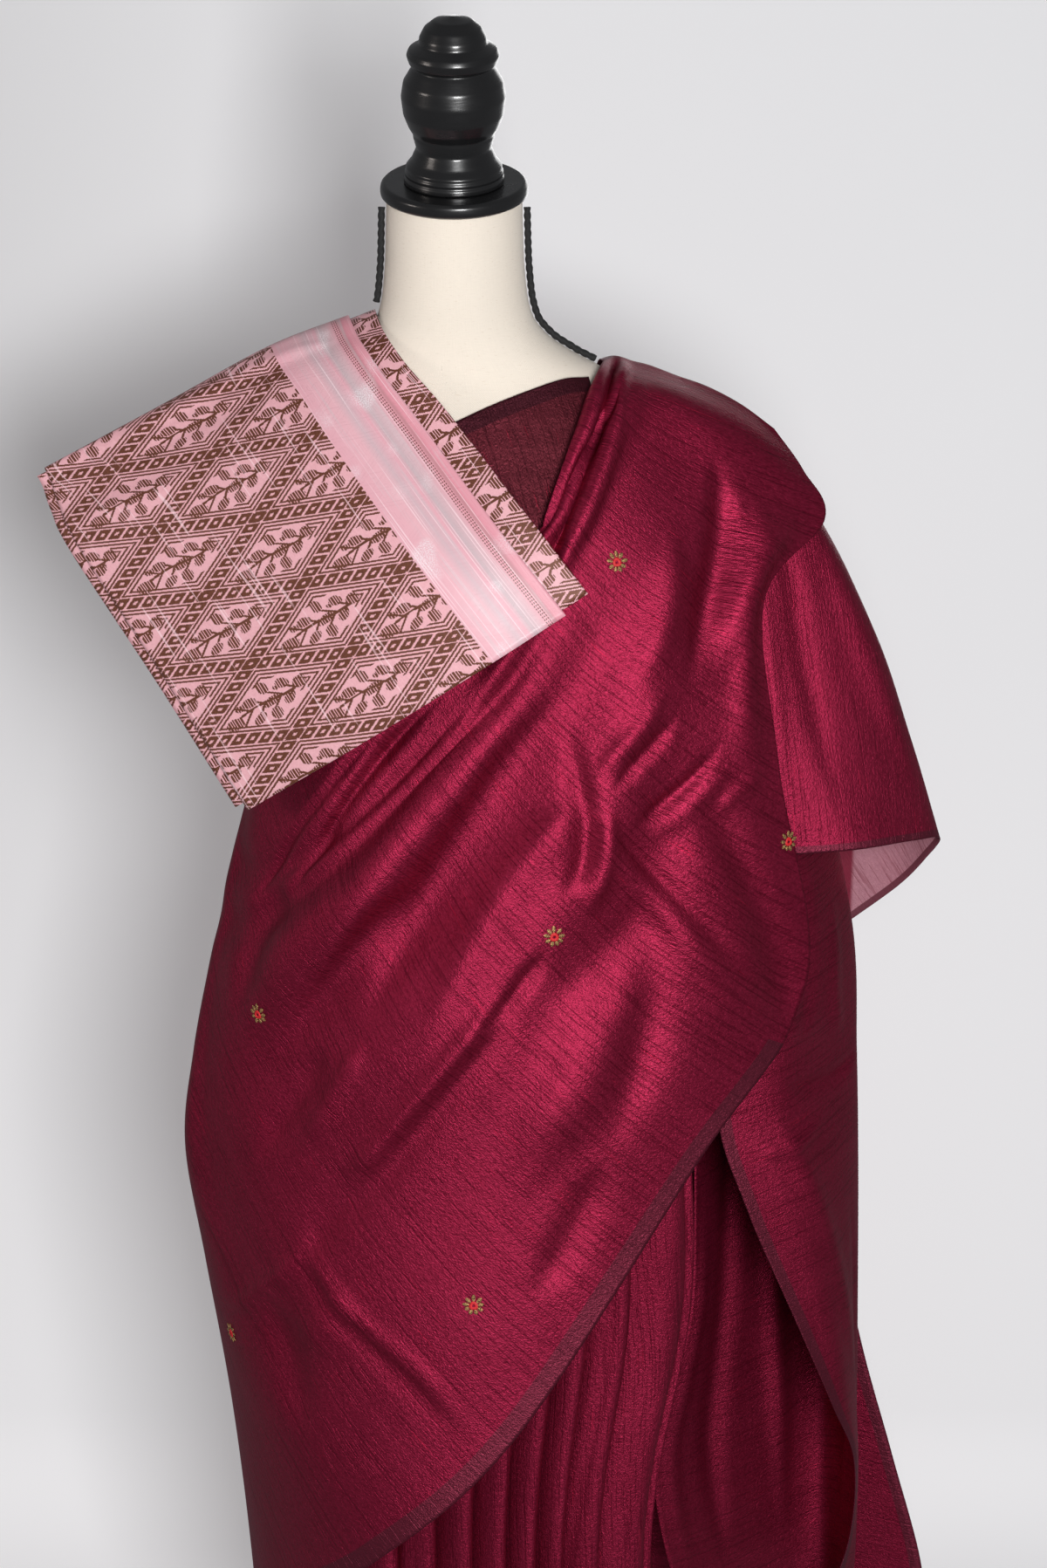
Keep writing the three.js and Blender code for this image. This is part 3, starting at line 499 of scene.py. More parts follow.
def smoothstep(x, low, high):
    """0 below low, 1 above high, and 3x^2 - 2x^3 between."""
    x = np.clip((x - low) / (high - low), 0, 1)
    return x * x * (3 - 2 * x)


def unit(vectors):
    return vectors / np.maximum(np.linalg.norm(vectors, axis=-1, keepdims=True), 1e-9)


def normals(surface, s, t, step=0.02):
    """Unit normals of a surface: the cross product of its steps along t and along s."""
    along_s = surface(s + step, t) - surface(s - step, t)
    along_t = surface(s, t + step) - surface(s, t - step)
    return unit(np.cross(along_t, along_s))


def fold_height(folds, s, t):
    """Sum of the large folds: a bell across the rows, faded out at both ends along the columns."""
    height = np.zeros(np.broadcast(s, t).shape)
    for s0, t0, s1, t1, width, top in folds:
        along = (t - t0) / (t1 - t0)
        middle = s0 + (s1 - s0) * np.clip(along, 0, 1)
        ends = smoothstep(along, -0.15, 0.15) * (1 - smoothstep(along, 0.75, 1.15))
        height = height + top * ends * np.exp(-(((s - middle) / width) ** 2))
    return height


def crease_height(surface, creases, points):
    """Sum of the fine creases at points of a surface: each is top * exp(-(distance / width)^2), the distance
    from a parabola laid on the surface through three places, and is low and thin at both ends."""
    height = np.zeros(points.shape[:-1])
    k = np.linspace(0, 1, CREASE_STEPS)
    through = np.stack([(1 - k) * (1 - 2 * k), 4 * k * (1 - k), k * (2 * k - 1)], -1)
    for s0, t0, s1, t1, s2, t2, width, top in creases:
        line = surface(through @ [s0, s1, s2], through @ [t0, t1, t2])
        near = np.all((points > line.min(0) - 3 * width) & (points < line.max(0) + 3 * width), -1)
        here = points[near]
        nearest, along = np.full(len(here), 1e9), np.zeros(len(here))
        for n, (start, way) in enumerate(zip(line, np.diff(line, axis=0))):
            share = np.clip((here - start) @ way / (way @ way), 0, 1)
            apart = np.linalg.norm(here - start - share[:, None] * way, axis=-1)
            along = np.where(apart < nearest, (n + share) / (CREASE_STEPS - 1), along)
            nearest = np.minimum(nearest, apart)
        ends = smoothstep(along, 0, 0.3) * (1 - smoothstep(along, 0.65, 1))
        height[near] += top * ends * np.exp(-((nearest / (width * (0.45 + 0.55 * ends))) ** 2))
    return height


def clear_of_torso(points):
    """Points pushed straight out of the torso's half ellipses, to TORSO_CLEARANCE outside them."""
    _, half, front, back, middle = np.moveaxis(section(TORSO, points[..., 2]), -1, 0)
    depth = np.where(points[..., 1] > 0, back, front)
    y = points[..., 1] - middle
    size = np.hypot(points[..., 0] / (half + TORSO_CLEARANCE), y / (depth + TORSO_CLEARANCE))
    near = (points[..., 2] < FORM_TOP) & (size > TORSO_CORE)
    out = np.where(near, np.maximum(1 / np.maximum(size, TORSO_CORE), 1), 1)
    return np.stack([points[..., 0] * out, y * out + middle, points[..., 2]], -1)


def way_out(node_name):
    """1 where the normals of a node's net point outwards, -1 where they point inwards."""
    return -1 if node_name in INWARD else 1


def creased(surface, node_name):
    """The surface moved along its normals by its node's creases, and kept outside the torso."""
    def moved(s, t):
        points = surface(s, t)
        height = way_out(node_name) * crease_height(surface, CREASES[node_name], points)
        return clear_of_torso(points + normals(surface, s, t) * height[..., None])

    return moved


def net_surface(net):
    """The smooth surface through a net, as a function of its row and column places."""
    return lambda s, t: net_points(net, s, t)


def panel_surface(s, t):
    """The front panel and back wrap: the net moved along its normals by the large folds, which fade out
    towards the shoulder's crest and the back."""
    net = net_surface(PANEL)
    edge = np.clip(np.minimum(t / FOLDS_START, (FOLDS_END - t) / FOLDS_FADE), 0, 1)
    height = edge * fold_height(PANEL_FOLDS, s, t)
    return net(s, t) + normals(net, s, t) * height[..., None]


def torso_surface(z, a):
    """The torso's skin at the height z and the angle a, 0 in front: half ellipses, deeper in front or behind,
    whose top leans forward with the neck plate."""
    half, front, back, middle = np.moveaxis(section(TORSO, z)[..., 1:], -1, 0)
    y = middle - np.where(np.cos(a) > 0, front, back) * np.cos(a)
    lean = math.tan(math.radians(CAP_TILT)) * smoothstep(z, LEAN_START, FORM_TOP)
    return np.stack([half * np.sin(a), y, z + y * lean], -1)


def torso_front(x, z):
    """The torso's front y at x and z."""
    half, front, middle = (section(TORSO, z)[..., k] for k in (1, 2, 4))
    return middle - front * np.sqrt(np.maximum(1 - (x / half) ** 2, 0.04))


def skirt_surface(z, a):
    """The skirt: half ellipses with soft upright folds, cosines of the angle that deepen towards the hem."""
    _, left, right, front, back, fold = np.moveaxis(section(SKIRT, z), -1, 0)
    half = np.where(np.sin(a) > 0, right, left)
    depth = np.where(np.cos(a) > 0, front, back)
    wave = fold * np.cos(SKIRT_FOLDS * a + SKIRT_DRIFT * np.sin(2 * a))
    return np.stack([(half + wave) * np.sin(a), -(depth + wave) * np.cos(a), z + 0 * a], -1)


def pleat_surface(z, f):
    """The front pleats: along x each pleat is one turn of a wave that bulges past its middle and leans to the
    right, on a front that falls back by PLEAT_BEND (x - PLEAT_MIDDLE)^2."""
    z, f = np.broadcast_arrays(z, f)
    _, left, right, middle, share = np.moveaxis(section(PLEATS, z), -1, 0)
    folds = np.asarray(PLEAT_FOLDS, float)
    k = np.clip(np.floor(f).astype(int), 0, len(folds) - 1)
    before = np.concatenate([[0], np.cumsum(folds[:, 0])])[k]
    row = (row_weights(len(folds), np.clip(f - 0.5, 0, len(folds) - 1)) @ folds).reshape(*f.shape, -1)
    width = folds[k, 0] * (right - left)
    turn = 2 * np.pi * (f - k)
    ends = np.clip(np.minimum(f, len(folds) - f) * 2, 0, 1)
    out = -np.cos(turn) * ends
    x = left + before * (right - left) + width * (f - k - PLEAT_SWELL * np.sin(turn) * ends)
    x = x + row[..., 2] * share * out
    y = middle + PLEAT_BEND * (x - PLEAT_MIDDLE) ** 2 - out * share * row[..., 1]
    return np.stack([x, y, z], -1)


def neck_surface(s, t):
    """The sheer layer: places on the torso's front, lifted off the skin by front + shoulder (x / reach)^3."""
    x, z = np.moveaxis(net_points(NECK_LAYER, s, t), -1, 0)
    lift = NECK_LIFT["front"] + NECK_LIFT["shoulder"] * np.maximum(x / NECK_LIFT["reach"], 0) ** 3
    return np.stack([x, torso_front(x, z) - lift, z], -1)


def blouse_surface(s, t):
    return net_points(BLOUSE_TOP, s, t)


def under_surface(s, t):
    """The lower fold of the blouse piece: the upper one moved along its normals, which point inwards."""
    return blouse_surface(s, t) + BLOUSE_UNDER["below"] * normals(blouse_surface, s, t)


def grid_faces(rows, columns, around=False):
    """Quads of a grid of points, row by row; with around set the last column joins the first."""
    i, j = np.meshgrid(np.arange(rows - 1), np.arange(columns if around else columns - 1), indexing="ij")
    k = (j + 1) % columns
    corners = [i * columns + j, i * columns + k, (i + 1) * columns + k, (i + 1) * columns + j]
    return np.stack(corners, -1).reshape(-1, 4)


def face_corners(values, faces):
    """The pair of values of each point of a grid, repeated for each corner of its faces."""
    return values.reshape(-1, 2)[faces].reshape(-1, 2)


def cloth_lengths(points):
    """Distances in metres over the cloth, from the first row and from the first column, at each point."""
    down = np.linalg.norm(np.diff(points, axis=0), axis=-1)
    over = np.linalg.norm(np.diff(points, axis=1), axis=-1)
    u = np.concatenate([np.zeros((1, points.shape[1])), np.cumsum(down, 0)])
    v = np.concatenate([np.zeros((points.shape[0], 1)), np.cumsum(over, 1)], 1)
    return u / 1000, v / 1000


def new_mesh(name, points, faces, uv=None):
    """A smooth mesh object from points in millimetres, its faces, and a UV pair for each face corner."""
    mesh = bpy.data.meshes.new(name)
    mesh.from_pydata((np.asarray(points).reshape(-1, 3) / 1000).tolist(), [], np.asarray(faces).tolist())
    mesh.polygons.foreach_set("use_smooth", np.ones(len(mesh.polygons), bool))
    if uv is not None:
        layer = mesh.uv_layers.new(name="cloth")
        layer.data.foreach_set("uv", np.asarray(uv, np.float32).ravel())
    mesh.update()
    piece = bpy.data.objects.new(name, mesh)
    bpy.context.scene.collection.objects.link(piece)
    return piece


def close_mesh(piece):
    """Merges doubled points at seams and poles, and turns the faces outwards."""
    edit = bmesh.new()
    edit.from_mesh(piece.data)
    bmesh.ops.remove_doubles(edit, verts=edit.verts, dist=1e-5)
    bmesh.ops.dissolve_degenerate(edit, edges=edit.edges, dist=1e-6)
    bmesh.ops.recalc_face_normals(edit, faces=edit.faces)
    edit.to_mesh(piece.data)
    edit.free()
    piece.data.polygons.foreach_set("use_smooth", np.ones(len(piece.data.polygons), bool))


def finish_piece(piece, material, slot, *nodes):
    """Gives a piece its finish and its place on the root body, and hides the CAD nodes that it stands for.
    The slot is not used.
    """
    piece.data.materials.append(material)
    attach(piece, "root")
    if nodes:
        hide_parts(*nodes)


def wrapped_lengths(points):
    """Places on the wrapped panel in metres: with x = angle about the body * WRAP_RADIUS, x and z are turned
    by WEFT_TURN, so that the first way runs down to the right and the second up to the right."""
    x = np.unwrap(np.arctan2(points[..., 0], -points[..., 1]), axis=1) * WRAP_RADIUS
    z = points[..., 2]
    turn = math.radians(WEFT_TURN)
    return (x * math.cos(turn) - z * math.sin(turn)) / 1000, (x * math.sin(turn) + z * math.cos(turn)) / 1000


def cloth_piece(name, surface, s, t, wall, selvages, turned=False, around=False, wrapped=False):
    """A thin shell of cloth on a surface. Its UV is metres over the cloth, x along the weft; the attribute
    edge is the distance to the nearest selvage, scaled so that each border is as wide as BORDER. selvages
    lists edges, each with its border in mm, first and last place. A wrapped piece has a slanted weft."""
    points = surface(*np.meshgrid(s, t, indexing="ij"))
    closed = np.concatenate([points, points[:, :1]], 1) if around else points
    u, v = cloth_lengths(closed)
    distances = {"first row": u, "last row": u[-1:] - u, "first column": v, "last column": v[:, -1:] - v}
    edge = np.full(u.shape, NO_SELVAGE)
    for which, border, low, high in selvages:
        places = np.asarray(s)[:, None] if "column" in which else np.resize(t, u.shape[1])[None]
        within = (places >= low) & (places <= high)
        edge = np.where(within, np.minimum(edge, distances[which] * BORDER / border), edge)
    if wrapped:
        u, v = wrapped_lengths(closed)
    corners = grid_faces(len(s), closed.shape[1])
    flat = np.stack([v, u] if turned else [u, v], -1)
    piece = new_mesh(name, points, grid_faces(len(s), len(t), around), face_corners(flat, corners))
    values = piece.data.attributes.new("edge", "FLOAT", "POINT")
    values.data.foreach_set("value", edge[:, :len(t)].astype(np.float32).ravel())
    shell = piece.modifiers.new("wall", "SOLIDIFY")
    shell.thickness = wall / 1000
    shell.offset = 0
    return piece


def node(tree, kind, inputs=None, **settings):
    """Adds a node, sets its properties, and links or sets its inputs."""
    made = tree.nodes.new(kind)
    for key, value in settings.items():
        setattr(made, key, value)
    for key, value in (inputs or {}).items():
        if isinstance(value, bpy.types.NodeSocket):
            tree.links.new(value, made.inputs[key])
        else:
            made.inputs[key].default_value = value
    return made


def calc(tree, operation, a, b=0.0, c=0.0, clamp=False):
    """The output of a math node."""
    return node(tree, "ShaderNodeMath", {0: a, 1: b, 2: c}, operation=operation, use_clamp=clamp).outputs[0]


def times(tree, a, b):
    """The product of two values."""
    return calc(tree, "MULTIPLY", a, b)


def one_less(tree, value):
    """1 minus a value."""
    return calc(tree, "SUBTRACT", 1.0, value)


def wave_above(tree, value, turns, level):
    """1 where sin(value * turns) is above a level, else 0."""
    return calc(tree, "GREATER_THAN", calc(tree, "SINE", times(tree, value, turns)), level)


def ramp(tree, value, low, high):
    """A smooth step of a value, 0 at low and 1 at high."""
    inputs = {"Value": value, "From Min": low, "From Max": high}
    return node(tree, "ShaderNodeMapRange", inputs, interpolation_type="SMOOTHSTEP").outputs["Result"]


def blend(tree, factor, a, b):
    """Colour a, blended into colour b as the factor goes from 0 to 1."""
    made = node(tree, "ShaderNodeMix", {"Factor": factor}, data_type="RGBA")
    for socket, value in ((made.inputs[6], a), (made.inputs[7], b)):
        if isinstance(value, bpy.types.NodeSocket):
            tree.links.new(value, socket)
        else:
            socket.default_value = (*value[:3], 1)
    return made.outputs[2]


def noise(tree, vector, stretch, detail, roughness=0.5):
    """Noise with its own scale along each axis, in patches a metre."""
    scaled = node(tree, "ShaderNodeMapping", {"Vector": vector, "Scale": stretch})
    inputs = {"Vector": scaled.outputs[0], "Scale": 1.0, "Detail": detail, "Roughness": roughness}
    return node(tree, "ShaderNodeTexNoise", inputs).outputs["Fac"]


def new_group(name, inputs, outputs):
    """A shader node group with named sockets: name to its default, a tuple for a vector."""
    tree = bpy.data.node_groups.new(name, "ShaderNodeTree")
    for kind, sockets in (("INPUT", inputs), ("OUTPUT", outputs)):
        for key, value in sockets.items():
            form = "Vector" if isinstance(value, tuple) else "Float"
            socket = tree.interface.new_socket(key, in_out=kind, socket_type="NodeSocket" + form)
            if kind == "INPUT":
                socket.default_value = value
    return tree, tree.nodes.new("NodeGroupInput").outputs, tree.nodes.new("NodeGroupOutput").inputs


def use_group(tree, group, **inputs):
    """The outputs of a group whose inputs are linked or set."""
    made = tree.nodes.new("ShaderNodeGroup")
    made.node_tree = group
    for key, value in inputs.items():
        if isinstance(value, bpy.types.NodeSocket):
            tree.links.new(value, made.inputs[key])
        else:
            made.inputs[key].default_value = value
    return made.outputs


def new_material(name, color=(0.5, 0.5, 0.5), **constants):
    """A Principled material with its colour and constants set, and its tree and shader."""
    material = bpy.data.materials.new(name)
    material.use_nodes = True
    tree = material.node_tree
    shader = tree.nodes["Principled BSDF"]
    shader.inputs["Base Color"].default_value = (*color[:3], 1)
    for key, value in constants.items():
        shader.inputs[key.replace("_", " ")].default_value = value
    return material, tree, shader


def feed(tree, shader, **values):
    """Links values into the shader's sockets."""
    for key, value in values.items():
        tree.links.new(value, shader.inputs[key.replace("_", " ")])


def bump(tree, shader, height, distance, strength=1.0):
    """Raises a finish by a height, whose full step is a distance in metres."""
    made = node(tree, "ShaderNodeBump", {"Height": height, "Distance": distance, "Strength": strength})
    tree.links.new(made.outputs[0], shader.inputs["Normal"])


def raw_silk_group():
    """Uneven raw silk: crinkled crepe grain, slubs along the weft (x), and stray bright threads, as a tone,
    two masks and a height."""
    tree, given, put = new_group("raw silk threads", {"Vector": (0.0, 0.0, 0.0), "Grain": 1.0},
                                 {"Tone": 0.0, "Slub": 0.0, "Stray": 0.0, "Height": 0.0})
    vector = given["Vector"]
    drift = noise(tree, vector, (40, 40, 1), 1)
    wander = node(tree, "ShaderNodeVectorMath", {0: vector, 1: (0.004, 0.004, 0.0)}, operation="MULTIPLY_ADD")
    tree.links.new(vector, wander.inputs[2])
    grain = noise(tree, wander.outputs[0], (620, 880, 1), 2, 0.6)
    crepe = noise(tree, wander.outputs[0], (260, 380, 1), 2, 0.6)
    slub = ramp(tree, noise(tree, vector, (20, 680, 1), 1), 0.59, 0.67)
    long_slub = ramp(tree, noise(tree, vector, (6, 320, 1), 1), 0.6, 0.7)
    stray = ramp(tree, noise(tree, vector, (18, 1000, 1), 0), 0.76, 0.8)
    stray = times(tree, stray, ramp(tree, drift, 0.45, 0.6))
    lines = calc(tree, "MAXIMUM", slub, times(tree, long_slub, 0.8))
    tone = calc(tree, "MULTIPLY_ADD", grain, 0.5, times(tree, crepe, 0.5))
    rough = times(tree, tone, given["Grain"])
    tree.links.new(tone, put["Tone"])
    tree.links.new(lines, put["Slub"])
    tree.links.new(stray, put["Stray"])
    tree.links.new(calc(tree, "ADD", rough, times(tree, lines, -0.16)), put["Height"])
    return tree


def plain_weave_group():
    """Plain weave: over and under threads as a product of sines, each thread a little uneven."""
    tree, given, put = new_group("plain weave", {"Vector": (0.0, 0.0, 0.0), "Threads": 1000.0},
                                 {"Tone": 0.0, "Height": 0.0})
    split = parts_of(tree, given["Vector"])
    waves = [calc(tree, "SINE", times(tree, times(tree, axis, given["Threads"]), math.pi))
             for axis in (split[0], split[1])]
    weft = noise(tree, given["Vector"], (60, 900, 1), 2)
    warp = noise(tree, given["Vector"], (900, 60, 1), 2)
    over = calc(tree, "MULTIPLY_ADD", times(tree, waves[0], waves[1]), 0.5, 0.5)
    threads = times(tree, calc(tree, "ADD", weft, warp), 0.5)
    tree.links.new(threads, put["Tone"])
    tree.links.new(calc(tree, "ADD", times(tree, over, 0.5), threads), put["Height"])
    return tree


LATTICE_LENGTH = 0.157  # metres between like points of the lattice, across the slubs
LATTICE_HEIGHT = 0.067  # and along them
THREAD_PITCH = 0.0007
# Lines beside each band and in the cells' corners: distances from the band's middle, as shares of the repeat
LINE_HALF_WIDTH = 0.0125
BAND_LINES = [0.104, 0.154]
CHEVRON = 0.206
CHEVRON_ENDS = (-0.4, 0.45)
LOZENGES = 7  # from one crossing of the bands to the next
LOZENGE_HALF_WIDTH = 0.074
LOZENGE_RIM = (0.65, 0.35)  # middle and half width, as shares of its size
# Stem: half length, where its middle lies along the cell, sway, and half width, in mm
STEM_HALF_LENGTH = 30.0
STEM_MIDDLE = -4.0
STEM_SWAY = 1.2
STEM_HALF_WIDTH = 0.95
# Leaves in each cell: middle along and across it, half length and half width in mm, turn in degrees
SPRIG = [
  [-40.0, 3.2, 8.8, 4.8, 5],
  [-30.0, -6.0, 4.2, 2.6, 10],
  [-19.6, -6.4, 7.0, 3.8, 6],
  [-18.0, 9.0, 6.8, 3.6, -16],
  [-1.0, 0.8, 8.8, 3.6, -8],
  [-3.4, -12.0, 5.6, 4.8, 45],
  [-2.4, 11.4, 5.2, 5.2, 45],
  [7.0, -6.8, 2.6, 1.8, 20],
  [14.4, -7.6, 6.2, 4.1, 24],
  [14.2, 5.4, 6.2, 4.0, -26],
  [28.0, -1.6, 6.2, 4.6, 0],
]
# Arrows across the stem: tip along the cell, slope of the arms, and their reach across it in mm
ARROWS = [[-21.0, 1.5, 8.5], [-8.0, 1.2, 5.0], [9.5, 1.5, 7.0], [22.0, 1.3, 4.5], [38.0, 2.2, 5.5]]


def lattice_group():
    """Zari lattice, charted in whole threads. With a = x / length + y / height, b = x / length - y / height,
    bands run where a or b is whole: a row of hollow lozenges between double lines. Each cell holds chevrons
    in its corners and a sprig: a stem, arrows across it and striped leaves as ellipses."""
    tree, given, put = new_group("zari lattice", {"X": 0.0, "Y": 0.0}, {"Zari": 0.0})
    x, y = (calc(tree, "SNAP", given[k], THREAD_PITCH) for k in ("X", "Y"))
    p, q = calc(tree, "DIVIDE", x, LATTICE_LENGTH), calc(tree, "DIVIDE", y, LATTICE_HEIGHT)
    a = calc(tree, "SUBTRACT", calc(tree, "FRACT", calc(tree, "ADD", p, q)), 0.5)
    b = calc(tree, "SUBTRACT", calc(tree, "FRACT", calc(tree, "SUBTRACT", p, q)), 0.5)
    to_a, to_b = (calc(tree, "SUBTRACT", 0.5, calc(tree, "ABSOLUTE", v)) for v in (a, b))
    shapes = []
    for near, far, along in ((to_a, to_b, b), (to_b, to_a, a)):
        for middle in BAND_LINES:
            line = calc(tree, "COMPARE", near, middle, LINE_HALF_WIDTH)
            shapes.append(times(tree, line, calc(tree, "GREATER_THAN", far, middle - LINE_HALF_WIDTH)))
        step = calc(tree, "PINGPONG", calc(tree, "MULTIPLY_ADD", along, LOZENGES, 0.5), 0.5)
        size = calc(tree, "MAXIMUM", times(tree, step, 2.5), calc(tree, "DIVIDE", near, LOZENGE_HALF_WIDTH))
        shapes.append(calc(tree, "COMPARE", size, *LOZENGE_RIM))
    long_way, short_way = calc(tree, "ADD", a, b), calc(tree, "SUBTRACT", a, b)
    along = times(tree, long_way, -500 * LATTICE_LENGTH)
    across = times(tree, short_way, -500 * LATTICE_HEIGHT)
    aside = calc(tree, "ABSOLUTE", across)
    corner = calc(tree, "MAXIMUM", calc(tree, "LESS_THAN", long_way, CHEVRON_ENDS[0]),
                  calc(tree, "GREATER_THAN", calc(tree, "ABSOLUTE", short_way), CHEVRON_ENDS[1]))
    inner = calc(tree, "MINIMUM", to_a, to_b)
    shapes.append(times(tree, calc(tree, "COMPARE", inner, CHEVRON, LINE_HALF_WIDTH), corner))
    middle = times(tree, calc(tree, "SINE", times(tree, along, 0.1)), STEM_SWAY)
    stem = calc(tree, "COMPARE", across, middle, STEM_HALF_WIDTH)
    shapes.append(times(tree, stem, calc(tree, "COMPARE", along, STEM_MIDDLE, STEM_HALF_LENGTH)))
    for tip, slope, reach in ARROWS:
        arm = calc(tree, "COMPARE", calc(tree, "MULTIPLY_ADD", aside, slope, along), tip, 1.5)
        shapes.append(times(tree, arm, calc(tree, "LESS_THAN", aside, reach)))
    stripe = wave_above(tree, along, 2.6, -0.6)
    for cx, cy, rx, ry, turn in SPRIG:
        cos, sin = math.cos(math.radians(turn)), math.sin(math.radians(turn))
        u = calc(tree, "ADD", calc(tree, "MULTIPLY_ADD", along, cos / rx, -cx * cos / rx),
                 calc(tree, "MULTIPLY_ADD", across, sin / rx, -cy * sin / rx))
        v = calc(tree, "ADD", calc(tree, "MULTIPLY_ADD", along, -sin / ry, cx * sin / ry),
                 calc(tree, "MULTIPLY_ADD", across, cos / ry, -cy * cos / ry))
        size = calc(tree, "ADD", times(tree, u, u), times(tree, v, v))
        shapes.append(times(tree, calc(tree, "LESS_THAN", size, 1.0), stripe))
    total = shapes[0]
    for shape in shapes[1:]:
        total = calc(tree, "MAXIMUM", total, shape)
    tree.links.new(total, put["Zari"])
    return tree


def uv_of(tree):
    """The place on the cloth in metres, x along the weft."""
    return node(tree, "ShaderNodeUVMap", uv_map="cloth").outputs[0]


def edge_of(tree):
    """The distance in metres to the nearest selvage."""
    return node(tree, "ShaderNodeAttribute", attribute_name="edge", attribute_type="GEOMETRY").outputs["Fac"]


def place_of(tree):
    """The place in space, as the object holds it."""
    return node(tree, "ShaderNodeTexCoord").outputs["Object"]


def parts_of(tree, vector):
    """The x, y and z of a vector."""
    return node(tree, "ShaderNodeSeparateXYZ", {0: vector}).outputs


def on_selvage(tree):
    """1 on the selvage borders, fading to 0 over their last millimetre."""
    return one_less(tree, ramp(tree, edge_of(tree), BORDER * 0.001 - 0.0012, BORDER * 0.001 - 0.0002))


def silk_material(name, threads, dark, light, border, grain=1.0):
    """Shot raw silk: two tones through the grain, darker slubs, stray bright threads and a selvage border."""
    material, tree, shader = new_material(name, Specular_IOR_Level=0.2, Metallic=0.82)
    uv = uv_of(tree)
    silk = use_group(tree, threads, Vector=uv, Grain=grain)
    patch = noise(tree, uv, (14, 18, 1), 2)
    bars = noise(tree, uv, (3, 70, 1), 2)
    tone = calc(tree, "MULTIPLY_ADD", silk["Tone"], 3.2, -1.1, clamp=True)
    tone = calc(tree, "MULTIPLY_ADD", calc(tree, "ADD", patch, bars), 0.3, times(tree, tone, 0.65))
    color = blend(tree, calc(tree, "SUBTRACT", tone, 0.1, clamp=True), dark, light)
    color = blend(tree, times(tree, silk["Slub"], 0.45), color, tuple(c * 0.6 for c in dark))
    color = blend(tree, times(tree, silk["Stray"], 0.7), color, (0.5, 0.012, 0.05))
    ribs = calc(tree, "MULTIPLY_ADD", calc(tree, "SINE", times(tree, edge_of(tree), 3400.0)), 0.08, 0.84)
    color = blend(tree, times(tree, on_selvage(tree), ribs), color, border)
    feed(tree, shader, Base_Color=color, Roughness=calc(tree, "MULTIPLY_ADD", silk["Tone"], 0.2, 0.39))
    bump(tree, shader, silk["Height"], 0.0013, 1.0)
    return material


BODY_OUTLINE = 0.34  # x in metres up to which the body is behind the cape's open end: painted shade before it, painted light beyond it


def lit_silk_material():
    """The single layer at the cape's open end seen from inside, with painted light coming through it: a
    painted lit pink beyond the body's outline, painted shade in crimson before it where the body is behind,
    and a dark selvage border at the hem."""
    material, tree, shader = new_material("lit inside of the cape", Roughness=0.7)
    silk = use_group(tree, silk_threads(), Vector=uv_of(tree), Grain=1.2)
    across = parts_of(tree, place_of(tree))[0]
    # painted light coming through the cloth: pink where nothing is behind it
    lit = blend(tree, silk["Tone"], (0.3, 0.1, 0.14), (0.66, 0.32, 0.38))
    # painted shade: crimson where the body is behind the cloth
    crimson = blend(tree, silk["Tone"], (0.13, 0.008, 0.022), (0.3, 0.018, 0.055))
    # painted light beyond BODY_OUTLINE, painted shade before it
    color = blend(tree, ramp(tree, across, BODY_OUTLINE - 0.002, BODY_OUTLINE + 0.002), crimson, lit)
    color = blend(tree, times(tree, silk["Slub"], 0.5), color, (0.2, 0.02, 0.04))
    color = blend(tree, on_selvage(tree), color, (0.16, 0.035, 0.055))
    feed(tree, shader, Base_Color=color)
    bump(tree, shader, silk["Height"], 0.0006, 1.0)
    return material


# Stripes of the blouse piece's end band: place as a share of its width, colour
BAND_STRIPES = [
  [0.0, (0.74, 0.34, 0.4)],
  [0.1, (0.7, 0.28, 0.34)],
  [0.14, (0.5, 0.22, 0.25)],
  [0.2, (0.74, 0.34, 0.4)],
  [0.3, (0.66, 0.42, 0.46)],
  [0.4, (0.55, 0.41, 0.44)],
  [0.47, (0.74, 0.38, 0.44)],
  [0.6, (0.62, 0.43, 0.47)],
  [0.7, (0.76, 0.43, 0.48)],
  [1.0, (0.74, 0.38, 0.44)],
]
DASHES_PLACE = 0.2  # share of the band's width
DASHES_HALF_WIDTH = 0.0028


def band_color(tree, uv, edge, settings):
    """The band's stripes, greyed in patches, with fine pale lines, silver specks and a row of dashes."""
    colors = node(tree, "ShaderNodeValToRGB", {"Fac": calc(tree, "DIVIDE", edge, settings.band_width)})
    while len(colors.color_ramp.elements) < len(BAND_STRIPES):
        colors.color_ramp.elements.new(0.5)
    for element, (place, color) in zip(colors.color_ramp.elements, BAND_STRIPES):
        element.position = place
        element.color = (*color, 1)
    fine = ramp(tree, noise(tree, uv, (6, 700, 1), 1), 0.58, 0.7)
    grey = ramp(tree, noise(tree, uv, (7, 160, 1), 2), 0.52, 0.7)
    speck = times(tree, ramp(tree, noise(tree, uv, (22, 26, 1), 1), 0.56, 0.68),
                  ramp(tree, noise(tree, uv, (1200, 1400, 1), 1), 0.44, 0.6))
    color = blend(tree, times(tree, grey, 0.5), colors.outputs[0], (0.62, 0.5, 0.53))
    color = blend(tree, times(tree, fine, 0.6), color, (0.93, 0.72, 0.76))
    color = blend(tree, times(tree, speck, 0.8), color, (0.85, 0.78, 0.81))
    row = calc(tree, "COMPARE", edge, settings.band_width * DASHES_PLACE, DASHES_HALF_WIDTH)
    dashes = times(tree, times(tree, row, wave_above(tree, edge, 3800.0, 0.1)),
                   wave_above(tree, parts_of(tree, uv)[0], 2400.0, -0.2))
    return blend(tree, dashes, color, settings.zari_dark)


